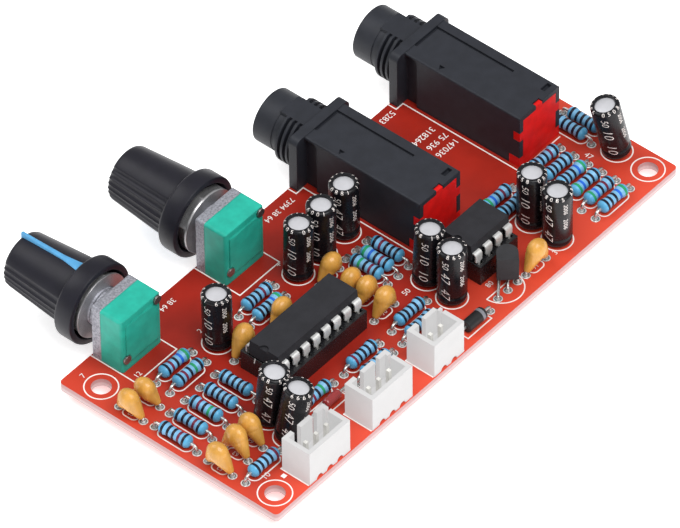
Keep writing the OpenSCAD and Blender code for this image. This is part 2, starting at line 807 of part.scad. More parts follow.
// The knob is seated on the shaft this far past the skirt and this deep
hub_start = 4.2;
shaft_depth = 9;
knob_fit = 0.02;
shaft_end_y = plate_y - knob_gap - hub_start - shaft_depth;

module pot_shaft(x) {
    rotor_y = case_y + rotor_gap + rotor_thickness;
    color([0.86, 0.86, 0.84])
        on_axis(x, rotor_y) {
            cylinder(h = rotor_y - shaft_end_y, d = shaft_d);
            cylinder(h = rotor_thickness, d = rotor_d);
        }
}

wiper_thickness = 0.25;
wiper_d = 6.2;
wiper_hole_d = 3.8;
module pot_wiper(x) {
    color([0.85, 0.68, 0.3])
        on_axis(x, case_y + rotor_gap + rotor_thickness + wiper_thickness)
            difference() {
                cylinder(h = wiper_thickness, d = wiper_d);
                translate([0, 0, -1]) cylinder(h = wiper_thickness + 2, d = wiper_hole_d);
            }
}

// Knob, along +Z from the rim of the skirt to the tip, with the pointer on +Y
tip_edge = 0.5;
skirt_edge = 0.4;
skirt_floor = skirt_length - 0.6;
throat_d = 8.4;
flute_r = 0.6;
flute_step = 12;
flute_start = 68;
flutes = 6;
pointer_base = 4.1;
pointer_fit = 0.02;
pointer_start = skirt_length + 0.1;
pointer_turns = [0, 174];

module pointer_shape(grow) {
    base = pointer_base - grow;
    translate([0, pointer_sweep_d / 2, 0])
        rotate([90, 0, 0])
            linear_extrude(pointer_sweep_d / 2 - base)
                polygon([[-pointer_tip / 2 - grow, knob_length + sign(grow) * cut],
                         [pointer_tip / 2 + grow, knob_length + sign(grow) * cut],
                         [pointer_root / 2 + grow, pointer_start],
                         [-pointer_root / 2 - grow, pointer_start]]);
}

module knob_shape() {
    bore_r = shaft_d / 2 + knob_fit;
    difference() {
        rotate_extrude()
            polygon([[skirt_bore_d / 2, 0], [skirt_d / 2 - skirt_edge, 0], [skirt_d / 2, skirt_edge],
                     [skirt_d / 2, skirt_length - skirt_edge], [skirt_d / 2 - skirt_edge, skirt_length],
                     [grip_root_d / 2, skirt_length], [grip_tip_d / 2, knob_length - tip_edge],
                     [grip_tip_d / 2 - tip_edge, knob_length], [0, knob_length],
                     [0, hub_start + shaft_depth], [bore_r, hub_start + shaft_depth],
                     [bore_r, hub_start], [throat_d / 2, hub_start], [throat_d / 2, skirt_floor],
                     [skirt_bore_d / 2, skirt_floor]]);
        for (side = [-1, 1]) for (i = [0:flutes - 1])
            rotate(side * (flute_start + i * flute_step))
                rod([0, grip_root_d / 2 + flute_r - flute_depth, skirt_length],
                    [0, grip_tip_d / 2 + flute_r - flute_depth, knob_length + cut], flute_r, flute_r);
        pointer_shape(pointer_fit);
    }
}

module knob(i) {
    color([0.1, 0.1, 0.11])
        on_axis(pot_places[i], plate_y - knob_gap) rotate(-pointer_turns[i]) knob_shape();
}

module knob_pointer(i) {
    color([0.35, 0.68, 0.94])
        on_axis(pot_places[i], plate_y - knob_gap) rotate(-pointer_turns[i]) pointer_shape(0);
}

// Shrouded header, its pins in the middle of the shroud
key_start = 2.15;
key_width = 1.6;
key_slot = 1;
key_wall = 2.9;
end_slot = 0.5;
end_slot_from = 1.3;
end_slot_depth = 2.6;
notch_r = 0.75;
pin_gap = 0.03;
module header_shroud(place) {
    length = header_length(place[1]);
    color([0.93, 0.92, 0.89])
        difference() {
            stand([place[0], header_y()])
                difference() {
                    block(length, header_depth, 0, header_height);
                    block(length - 2 * header_wall, header_depth - 2 * header_wall,
                          header_floor, header_height + 1);
                    translate([length / 2 - key_start - key_width, -header_depth / 2 - 1, header_floor])
                        cube([key_width, header_wall + 1 + cut, header_height]);
                    translate([length / 2 - key_start - key_width - key_wall - key_slot,
                               -header_depth / 2 - 1, header_floor])
                        cube([key_slot, header_wall + 1 + cut, header_height]);
                    translate([-length / 2 - 1, end_slot_from - header_depth / 2,
                               header_height - end_slot_depth])
                        cube([header_wall + 1 + cut, end_slot, header_height]);
                }
            for (p = header_points(place))
                translate([p[0], p[1], top]) {
                    block(header_pin + 2 * pin_gap, header_pin + 2 * pin_gap, -1, header_height);
                    translate([0, header_depth, 0])
                        rotate([90, 0, 0]) cylinder(h = header_depth, r = notch_r, $fn = 24);
                }
        }
}

// The pins end this far below the rim of the shroud
pin_inset = 0.9;
module header_pins() {
    pin_top = top + header_height - pin_inset;
    color([0.82, 0.81, 0.76])
        for (place = header_places) for (p = header_points(place))
            translate([p[0], p[1], 0]) block(header_pin, header_pin, -pin_stub, pin_top);
}

// Chip and socket
socket_slot_x = 1.1;
socket_slot_y = 1.2;
socket_window = 4.6;
socket_end = 0.35;
chip_end = 0.4;
chip_lead_wide = 1.6;
chip_lead_narrow = 0.5;
chip_lead_thickness = 0.25;
chip_draft = 0.25;
chip_notch_r = 0.8;
chip_notch_depth = 0.4;
shoulder_drop = 1.75;
lead_depth = 2;
contact_wall = 0.2;
contact_gap = 0.03;
contact_start = 0.6;
contact_inset = 0.3;
chip_base = socket_height + chip_gap;
shoulder = chip_base + chip_height / 2;

module socket(place, pins) {
    length = pins * chip_pitch - 2 * socket_end;
    color([0.1, 0.1, 0.11])
        difference() {
            stand(place)
                difference() {
                    block(length, socket_width, 0, socket_height);
                    block(length - 2 * chip_pitch, socket_window, -1, socket_height + 1);
                }
            for (p = chip_points(place, pins))
                translate([p[0], p[1], top])
                    block(socket_slot_x, socket_slot_y, -1, socket_height + 1);
        }
}

// Two leaves that hold a chip lead between them, and a tail through the board
module socket_contacts(place, pins) {
    span = socket_slot_y - 2 * contact_gap;
    width = socket_slot_x - 2 * contact_gap;
    floor_z = top + contact_start;
    color([0.84, 0.8, 0.68])
        for (p = chip_points(place, pins))
            translate([p[0], p[1], 0]) {
                for (s = [-1, 1])
                    translate([0, s * (span - contact_wall) / 2, 0])
                        block(width, contact_wall, floor_z, top + socket_height - contact_inset);
                block(width, span, floor_z, floor_z + contact_wall);
                translate([0, 0, -lead_stub])
                    cylinder(h = lead_stub + floor_z + cut, r = lead_r, $fn = 24);
            }
}

module chip(place, pins) {
    length = pins * chip_pitch - 2 * chip_end;
    half = chip_width / 2;
    color([0.2, 0.2, 0.21])
        stand(place)
            difference() {
                translate([-length / 2, 0, chip_base])
                    rotate([90, 0, 90])
                        linear_extrude(length)
                            polygon([[-half + chip_draft, 0], [half - chip_draft, 0],
                                     [half, chip_height / 2], [half - chip_draft, chip_height],
                                     [-half + chip_draft, chip_height], [-half, chip_height / 2]]);
                translate([length / 2, 0, chip_base + chip_height - chip_notch_depth])
                    cylinder(h = 1, r = chip_notch_r);
            }
}

module chip_leads(place, pins) {
    reach = row_spacing / 2 + chip_lead_thickness / 2;
    flat_y = chip_width / 2;
    color([0.85, 0.85, 0.84])
        for (side = [0, 1]) for (i = [0:pins - 1])
            stand(place, 180 * side)
                translate([(i - (pins - 1) / 2) * chip_pitch, 0, 0]) {
                    translate([0, (flat_y + reach) / 2, 0])
                        block(chip_lead_wide, reach - flat_y, shoulder - chip_lead_thickness / 2,
                              shoulder + chip_lead_thickness / 2);
                    translate([0, row_spacing / 2, 0]) {
                        block(chip_lead_wide, chip_lead_thickness, shoulder - shoulder_drop,
                              shoulder + chip_lead_thickness / 2);
                        block(chip_lead_narrow, chip_lead_thickness, socket_height - lead_depth,
                              shoulder);
                    }
                }
}

// Electrolytic capacitor, on a tilted base so that its can may lean
bung_height = 0.8;
bung_inset = 0.12;
sleeve_gap = 0.02;
sleeve_start = 0.1;
module lean(place) {
    way = [place[2], place[3], can_height];
    translate([place[0], place[1], top + can_lift])
        rotate([0, acos(way[2] / norm(way)), atan2(way[1], way[0])])
            rotate(-atan2(way[1], way[0])) children();
}

function can_r() = can_d / 2 - sleeve_wall - sleeve_gap;

// Side and shoulder of a can, a given distance inside the face of its sleeve
can_shoulder = 0.4;
function shoulder_points(inset) =
    [[can_d / 2 - inset, can_height - can_shoulder - inset * (sqrt(2) - 1)],
     [can_d / 2 - can_shoulder - inset * (sqrt(2) - 1), can_height - inset]];

module capacitor_cans() {
    inset = sleeve_wall + sleeve_gap;
    color([0.86, 0.86, 0.87])
        for (p = can_places)
            lean(p)
                rotate_extrude()
                    polygon(concat([[0, bung_height], [can_r(), bung_height]],
                                   shoulder_points(inset), [[0, can_height - inset]]));
}

module capacitor_sleeves() {
    inner = can_d / 2 - sleeve_wall;
    color([0.07, 0.07, 0.08])
        for (p = can_places)
            lean(p)
                rotate_extrude()
                    polygon(concat([[inner, sleeve_start], [can_d / 2, sleeve_start]],
                                   shoulder_points(0),
                                   [[bare_disc_d / 2, can_height],
                                    [bare_disc_d / 2, can_height - sleeve_wall],
                                    shoulder_points(sleeve_wall)[1],
                                    shoulder_points(sleeve_wall)[0]]));
}

module capacitor_bungs() {
    color([0.15, 0.15, 0.15])
        for (p = can_places) lean(p) cylinder(h = bung_height, r = can_r() - bung_inset);
}

// Each lead ends just under the tilted bung
bung_clearance = 0.08;
module capacitor_leads() {
    color([0.8, 0.8, 0.78])
        for (p = can_places) for (q = pair(p, can_pitch, 0)) {
            tilt_drop = abs(p[2]) * can_pitch / 2 / can_height;
            translate([q[0], q[1], -lead_stub])
                cylinder(h = lead_stub + top + can_lift - tilt_drop - bung_clearance,
                         r = lead_r, $fn = 24);
        }
}

// Ceramic drop, turned so that its two leads lie along x
elbow = 0.5;
root_x = 0.75;
root_r = 1.4;
root_depth = 0.8;
drip_r = 0.52;
bare_lead = 0.45;
function drop_elbow(s) = [s * drop_pitch / 2, 0, elbow];
function drop_root(s, sink) = [s * root_x, 0, drop_middle - sink - root_depth];
function drop_drip(s, sink) =
    let (way = drop_root(s, sink) - drop_elbow(s)) drop_elbow(s) + bare_lead * way / norm(way);

module drop_lean(place) {
    stand(place, place[2])
        translate([0, 0, elbow]) rotate([place[3], 0, 0]) translate([0, 0, -elbow]) children();
}

module ceramic_drops() {
    rim = drop_thickness / 2;
    color([0.88, 0.64, 0.27])
        for (p = drop_places)
            drop_lean(p) {
                translate([0, rim, drop_middle - p[4]])
                    rotate([90, 0, 0])
                        rotate_extrude($fn = 32)
                            intersection() {
                                union() {
                                    square([drop_d / 2 - rim, drop_thickness]);
                                    translate([drop_d / 2 - rim, rim]) circle(r = rim, $fn = 24);
                                }
                                square([drop_d, drop_thickness]);
                            }
                for (s = [-1, 1])
                    rod(drop_root(s, p[4]), drop_drip(s, p[4]), root_r, drip_r);
            }
}

module ceramic_leads() {
    color([0.8, 0.8, 0.78])
        for (p = drop_places) {
            stand(p, p[2])
                for (s = [-1, 1])
                    translate([s * drop_pitch / 2, 0, -top - lead_stub])
                        cylinder(h = lead_stub + top + elbow, r = lead_r, $fn = 24);
            drop_lean(p)
                for (s = [-1, 1]) {
                    rod(drop_elbow(s), drop_drip(s, p[4]), lead_r, lead_r);
                    translate(drop_elbow(s)) sphere(r = kink_r, $fn = 24);
                }
        }
}

// Resistor, along x: the ends of its two caps are rounded, and a slope leads to the waist
bell = 0.214 * resistor_length;
bell_slope = 0.056 * resistor_length;
cap_round = 0.095 * resistor_length;
cap_face = 0.55;
cap_edge = 0.92;
bend_r = 0.7;
resistor_axis = resistor_d / 2 + resistor_lift;
module resistor_bodies() {
    half = resistor_length / 2;
    r = resistor_d / 2;
    waist = resistor_waist_d / 2;
    color([0.42, 0.72, 0.88])
        for (p = resistor_places)
            stand(p, p[2])
                translate([-half, 0, resistor_axis])
                    rotate([0, 90, 0])
                        rotate_extrude($fn = 32)
                            polygon([[0, 0], [r * cap_face, 0], [r * cap_edge, cap_round / 2],
                                     [r, cap_round], [r, bell], [waist, bell + bell_slope],
                                     [waist, resistor_length - bell - bell_slope],
                                     [r, resistor_length - bell], [r, resistor_length - cap_round],
                                     [r * cap_edge, resistor_length - cap_round / 2],
                                     [r * cap_face, resistor_length], [0, resistor_length]]);
}

// A wire from a body end out, round a bend and down through the board, along x
module bent_lead(body_end, pitch, axis_height) {
    translate([body_end, 0, axis_height])
        rotate([0, 90, 0]) cylinder(h = pitch / 2 - bend_r - body_end, r = lead_r, $fn = 24);
    translate([pitch / 2 - bend_r, 0, axis_height - bend_r])
        rotate([90, 0, 0])
            rotate_extrude(angle = 90, $fn = 24) translate([bend_r, 0]) circle(r = lead_r);
    translate([pitch / 2, 0, -top - lead_stub])
        cylinder(h = lead_stub + top + axis_height - bend_r, r = lead_r, $fn = 24);
}

module resistor_leads() {
    color([0.8, 0.8, 0.78])
        for (p = resistor_places) for (s = [0, 1])
            stand(p, p[2] + 180 * s)
                bent_lead(resistor_length / 2, resistor_pitch, resistor_axis);
}

// All bands of one colour: five to a resistor, evenly spaced, the outer two on the end caps
band_step = (resistor_length - bell - cap_round) / 4;
module bands(code) {
    for (p = resistor_places) for (i = [-2:2])
        if (p[3][i + 2] == code) {
            r = (abs(i) == 2 ? resistor_d : resistor_waist_d) / 2;
            stand(p, p[2])
                translate([i * band_step - band_width / 2, 0, resistor_axis])
                    rotate([0, 90, 0])
                        rotate_extrude($fn = 32)
                            translate([r, 0]) square([band_height, band_width]);
        }
}

module dark_bands() {
    color([0.06, 0.06, 0.09]) bands("d");
}

module brown_bands() {
    color([0.42, 0.12, 0.14]) bands("r");
}

module green_bands() {
    color([0.2, 0.55, 0.38]) bands("g");
}

module blue_bands() {
    color([0.14, 0.42, 0.78]) bands("b");
}

// Transistor in a moulded body, round behind and flat in front, on its three bent legs
module transistor_body() {
    color([0.17, 0.17, 0.18])
        stand(transistor_place + transistor_shift, transistor_turn)
            translate([0, 0, transistor_base])
                linear_extrude(transistor_height) {
                    circle(r = transistor_r);
                    translate([-transistor_r, 0]) square([2 * transistor_r, transistor_flat]);
                }
}

module transistor_leads() {
    leg_step = 1.27;
    leg_bend = 0.5;
    color([0.8, 0.8, 0.78])
        stand(transistor_place)
            for (i = [-1:1]) {
                foot = [i * transistor_pitch, 0, leg_bend];
                neck = [transistor_shift[0] + i * leg_step * cos(transistor_turn),
                        transistor_shift[1] + i * leg_step * sin(transistor_turn),
                        transistor_base - leg_bend];
                translate([foot[0], 0, -top - lead_stub])
                    cylinder(h = lead_stub + top + leg_bend, r = lead_r, $fn = 24);
                translate(foot) sphere(r = kink_r, $fn = 24);
                rod(foot, neck, lead_r, lead_r);
                translate(neck) sphere(r = kink_r, $fn = 24);
                translate(neck) cylinder(h = leg_bend, r = lead_r, $fn = 24);
            }
}

// Axial diodes, along x
axial_edge = 0.15;
module axial_body(place, length, r) {
    stand(place)
        translate([-length / 2, 0, r + resistor_lift])
            rotate([0, 90, 0])
                rotate_extrude($fn = 32)
                    polygon([[0, 0], [r - axial_edge, 0], [r, axial_edge], [r, length - axial_edge],
                             [r - axial_edge, length], [0, length]]);
}

module axial_leads(place, length, pitch, r) {
    color([0.8, 0.8, 0.78])
        for (s = [0, 1])
            stand(place, 180 * s) bent_lead(length / 2, pitch, r + resistor_lift);
}

module rectifier_body() {
    color([0.1, 0.1, 0.1]) axial_body(rectifier_place, rectifier_length, rectifier_r);
}

module rectifier_band() {
    color([0.8, 0.8, 0.8])
        stand(rectifier_place)
            translate([-rectifier_band_at - rectifier_band_width / 2, 0, rectifier_r + resistor_lift])
                rotate([0, 90, 0])
                    rotate_extrude($fn = 32)
                        translate([rectifier_r, 0]) square([band_height, rectifier_band_width]);
}

module glass_diode_body() {
    color([0.62, 0.2, 0.2]) axial_body(glass_diode_place, glass_diode_length, glass_diode_r);
}

pcb();
board_print();
solder_joints();
jack_housing(jack_places[0]);  // jack_1_housing
jack_end_cap(jack_places[0]);  // jack_1_end_cap
jack_contacts(jack_places[0]);  // jack_1_contacts
jack_housing(jack_places[1]);  // jack_2_housing
jack_end_cap(jack_places[1]);  // jack_2_end_cap
jack_contacts(jack_places[1]);  // jack_2_contacts
pot_front_plate(pot_places[0]);  // pot_1_front_plate
pot_front_plate(pot_places[1]);  // pot_2_front_plate
pot_rear_case(pot_places[0]);  // pot_1_rear_case
pot_rear_case(pot_places[1]);  // pot_2_rear_case
pot_wafers();
pot_terminals();
pot_rivets();
pot_washers();
pot_nuts();
pot_shaft(pot_places[0]);  // pot_1_shaft
pot_shaft(pot_places[1]);  // pot_2_shaft
pot_wiper(pot_places[0]);  // pot_1_wiper
pot_wiper(pot_places[1]);  // pot_2_wiper
knob(0);  // knob_1
knob(1);  // knob_2
knob_pointer(0);  // knob_1_pointer
knob_pointer(1);  // knob_2_pointer
header_shroud(header_places[0]);  // header_1_shroud
header_shroud(header_places[1]);  // header_2_shroud
header_shroud(header_places[2]);  // header_3_shroud
header_pins();
chip(long_chip_place, long_chip_pins);  // long_chip
chip_leads(long_chip_place, long_chip_pins);  // long_chip_leads
socket(long_chip_place, long_chip_pins);  // long_socket
socket_contacts(long_chip_place, long_chip_pins);  // long_socket_contacts
chip(short_chip_place, short_chip_pins);  // short_chip
chip_leads(short_chip_place, short_chip_pins);  // short_chip_leads
socket(short_chip_place, short_chip_pins);  // short_socket
socket_contacts(short_chip_place, short_chip_pins);  // short_socket_contacts
capacitor_cans();
capacitor_sleeves();
capacitor_bungs();
capacitor_leads();
ceramic_drops();
ceramic_leads();
resistor_bodies();
resistor_leads();
dark_bands();
brown_bands();
green_bands();
blue_bands();
transistor_body();
transistor_leads();
rectifier_body();
rectifier_band();
axial_leads(rectifier_place, rectifier_length, rectifier_pitch, rectifier_r);  // rectifier_leads
glass_diode_body();
axial_leads(glass_diode_place, glass_diode_length, glass_diode_pitch, glass_diode_r);  // glass_diode_leads
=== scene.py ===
"""Dresses the microphone amplifier board: finer pieces, materials, light and camera."""

import json
import math
import random

import bmesh
import bpy
from mathutils import Matrix, Vector


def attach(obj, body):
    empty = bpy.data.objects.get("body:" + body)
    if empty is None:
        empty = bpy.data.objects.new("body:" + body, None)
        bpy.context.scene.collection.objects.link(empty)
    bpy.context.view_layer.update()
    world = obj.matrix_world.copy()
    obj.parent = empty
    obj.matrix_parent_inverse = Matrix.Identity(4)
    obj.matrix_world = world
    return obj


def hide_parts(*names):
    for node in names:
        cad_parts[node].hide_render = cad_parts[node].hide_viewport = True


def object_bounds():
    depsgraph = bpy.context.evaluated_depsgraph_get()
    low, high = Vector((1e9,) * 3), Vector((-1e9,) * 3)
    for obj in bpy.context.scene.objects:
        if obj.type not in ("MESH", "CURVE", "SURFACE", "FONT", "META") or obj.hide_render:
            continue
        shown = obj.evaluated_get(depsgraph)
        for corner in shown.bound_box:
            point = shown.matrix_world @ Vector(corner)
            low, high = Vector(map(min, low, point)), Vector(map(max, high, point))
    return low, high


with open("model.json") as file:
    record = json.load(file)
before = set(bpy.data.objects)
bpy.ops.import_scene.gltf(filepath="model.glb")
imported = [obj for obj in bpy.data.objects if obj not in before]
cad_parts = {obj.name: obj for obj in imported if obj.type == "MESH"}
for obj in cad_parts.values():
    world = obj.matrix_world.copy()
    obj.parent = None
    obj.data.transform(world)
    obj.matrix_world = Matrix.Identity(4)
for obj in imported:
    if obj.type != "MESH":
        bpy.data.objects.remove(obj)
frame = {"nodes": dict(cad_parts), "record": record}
cad_low, cad_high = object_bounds()

MM = 0.001
TOP = 1.6  # upper face of the board, in millimetres
random.seed(7)


# Materials

# Values of a noise between which the colour and the gloss change
PATCH_SPAN = (0.35, 0.65)
GLOSS_SPAN = (0.3, 0.7)
GLOSS_SPREAD = 0.12  # share by which the roughness varies
COAT_ROUGHNESS = 0.12
BEVEL_SAMPLES = 4


def node(tree, kind, **values):
    """A shader node with its inputs or attributes set by name."""
    made = tree.nodes.new(kind)
    for name, value in values.items():
        if name in made.inputs:
            made.inputs[name].default_value = value
        else:
            setattr(made, name, value)
    return made


def mix(tree, kind, factor, first, second):
    """Mixes two colours, which may be sockets or plain colours."""
    made = node(tree, "ShaderNodeMix", data_type="RGBA", blend_type=kind)
    for socket, value in ((made.inputs[0], factor), (made.inputs[6], first), (made.inputs[7], second)):
        if hasattr(value, "links"):
            tree.links.new(value, socket)
        else:
            socket.default_value = value if isinstance(value, float) else (*value[:3], 1)
    return made.outputs[2]


def ramp(tree, value, span, first=0.0, last=1.0):
    """Spreads a value so that the ends of the span become first and last."""
    made = node(tree, "ShaderNodeMapRange")
    for socket, number in zip(made.inputs[1:5], (*span, first, last)):
        socket.default_value = number
    tree.links.new(value, made.inputs[0])
    return made.outputs[0]


def noise(tree, size, detail=3.0, stretch=(1, 1, 1)):
    """Noise whose grains are about size millimetres across, fixed to the object."""
    place = node(tree, "ShaderNodeTexCoord")
    scale = node(tree, "ShaderNodeMapping")
    scale.inputs["Scale"].default_value = [s / (size * MM) for s in stretch]
    made = node(tree, "ShaderNodeTexNoise", Scale=1.0, Detail=detail)
    tree.links.new(place.outputs["Object"], scale.inputs["Vector"])
    tree.links.new(scale.outputs[0], made.inputs["Vector"])
    return made.outputs[0]


def bump(tree, height, depth, normal=None):
    """A normal that shows the height as relief of so many millimetres, over another normal."""
    made = node(tree, "ShaderNodeBump", Strength=1.0, Distance=depth * MM)
    tree.links.new(height, made.inputs["Height"])
    if normal is not None:
        tree.links.new(normal, made.inputs["Normal"])
    return made.outputs[0]


def surface(name, colour, rough=0.5, metal=0.0, coat=0.0, grain=0.2, depth=0.004, mottle=0.1,
            patch=2.0, edge=0.08, stretch=(1, 1, 1), shine=0.5, glow=0.0):
    """A material with mottled colour, uneven gloss, fine grain and softened edges."""
    made = bpy.data.materials.new(name)
    made.use_nodes = True
    tree = made.node_tree
    shader = tree.nodes["Principled BSDF"]
    shader.inputs["Metallic"].default_value = metal
    shader.inputs["Specular IOR Level"].default_value = shine
    shader.inputs["Coat Weight"].default_value = coat
    shader.inputs["Coat Roughness"].default_value = COAT_ROUGHNESS
    shader.inputs["Emission Color"].default_value = (1, 1, 1, 1)
    shader.inputs["Emission Strength"].default_value = glow
    patches = noise(tree, patch, 4.0, stretch)
    fine = noise(tree, grain, 3.0, stretch)
    dark = tuple(c * (1 - mottle) for c in colour[:3])
    light = tuple(min(1, c * (1 + mottle)) for c in colour[:3])
    tree.links.new(mix(tree, "MIX", ramp(tree, patches, PATCH_SPAN), dark, light),
                   shader.inputs["Base Color"])
    smooth, dull = rough * (1 - GLOSS_SPREAD), min(1, rough * (1 + GLOSS_SPREAD))
    tree.links.new(ramp(tree, fine, GLOSS_SPAN, smooth, dull), shader.inputs["Roughness"])
    soft = None
    if edge:
        soft = node(tree, "ShaderNodeBevel", samples=BEVEL_SAMPLES, Radius=edge * MM).outputs[0]
    tree.links.new(bump(tree, fine, depth, soft), shader.inputs["Normal"])
    return made


def axis_of(tree, source, index):
    """One part of a direction or a place."""
    parts = node(tree, "ShaderNodeSeparateXYZ")
    tree.links.new(source, parts.inputs[0])
    return parts.outputs[index]


def math_of(tree, operation, first, second=0.0):
    """The result of a sum or the like on two values, which may be sockets or numbers."""
    made = node(tree, "ShaderNodeMath", operation=operation)
    for socket, value in zip(made.inputs, (first, second)):
        if hasattr(value, "links"):
            tree.links.new(value, socket)
        else:
            socket.default_value = value
    return made.outputs[0]


# The board, in metres: how far out its ends turn bright with painted light, how far to the rear the same
# painted light reaches, and where the cut edge changes its tone
LIT_ENDS = (0.036, 0.053)
LIT_REAR = (0.007, 0.022)
EDGE_SEAM = (0.0007, 0.0009)
END_SHARE = 0.8  # how bright the ends are beside the rear
# Painted shade: the lacquer red is darkened as among the parts in the middle. LIT_RED is painted light where
# the board lies open.
SHADED_LACQUER_RED = (0.31, 0.016, 0.008)
LIT_RED = (0.7, 0.07, 0.035)
EDGE_LOWER, EDGE_UPPER = (0.6, 0.45, 0.45), (0.5, 0.3, 0.3)
FLAT_SPAN = (0.4, 0.6)  # how level a face has to be to show the lacquer


def board_material():
    """Red lacquer with painted shade in the middle among the parts and painted light near the ends and the
    rear edge, with pale cut edges of two tones.
    """
    made = surface("board_lacquer", SHADED_LACQUER_RED, 0.4, grain=0.5, depth=0.003, patch=6, shine=0.25)
    tree = made.node_tree
    shader = tree.nodes["Principled BSDF"]
    place = node(tree, "ShaderNodeTexCoord").outputs["Object"]
    # Painted light: the lacquer is mixed towards LIT_RED near the ends and the rear. The painted shade of
    # the darker red stays in the middle.
    ends = ramp(tree, math_of(tree, "ABSOLUTE", axis_of(tree, place, 0)), LIT_ENDS)
    rear = ramp(tree, axis_of(tree, place, 1), LIT_REAR)
    lit = math_of(tree, "MAXIMUM", math_of(tree, "MULTIPLY", ends, END_SHARE), rear)
    plain = shader.inputs["Base Color"].links[0].from_socket
    painted_light_colour = mix(tree, "MIX", lit, plain, LIT_RED)
    facing = node(tree, "ShaderNodeNewGeometry").outputs["Normal"]
    level = math_of(tree, "ABSOLUTE", axis_of(tree, facing, 2))
    layer = ramp(tree, axis_of(tree, place, 2), EDGE_SEAM)
    edge = mix(tree, "MIX", layer, EDGE_LOWER, EDGE_UPPER)
    tree.links.new(mix(tree, "MIX", ramp(tree, level, FLAT_SPAN), edge, painted_light_colour), shader.inputs["Base Color"])
    return made


# Painted reflection: level solder keeps its bright colour, and sloped solder is darkened as if it mirrored
# dark surroundings.
RING_SPAN = (0.93, 0.98)  # how level solder has to be to count as its bright ring
SLOPE_REFLECTION_TONE = (0.25, 0.24, 0.24)


def solder_material():
    """Bright flat rings round a speckled slope darkened with a painted reflection of dark surroundings."""
    made = surface("solder", (0.78, 0.78, 0.76), 0.36, 0.45, grain=0.25, depth=0.03, mottle=0.3, patch=0.4)
    tree = made.node_tree
    shader = tree.nodes["Principled BSDF"]
    level = axis_of(tree, node(tree, "ShaderNodeNewGeometry").outputs["True Normal"], 2)
    plain = shader.inputs["Base Color"].links[0].from_socket
    # painted reflection: darkens the sloped solder
    dark_reflection = mix(tree, "MULTIPLY", 1.0, plain, SLOPE_REFLECTION_TONE)
    tree.links.new(mix(tree, "MIX", ramp(tree, level, RING_SPAN), dark_reflection, plain), shader.inputs["Base Color"])
    return made


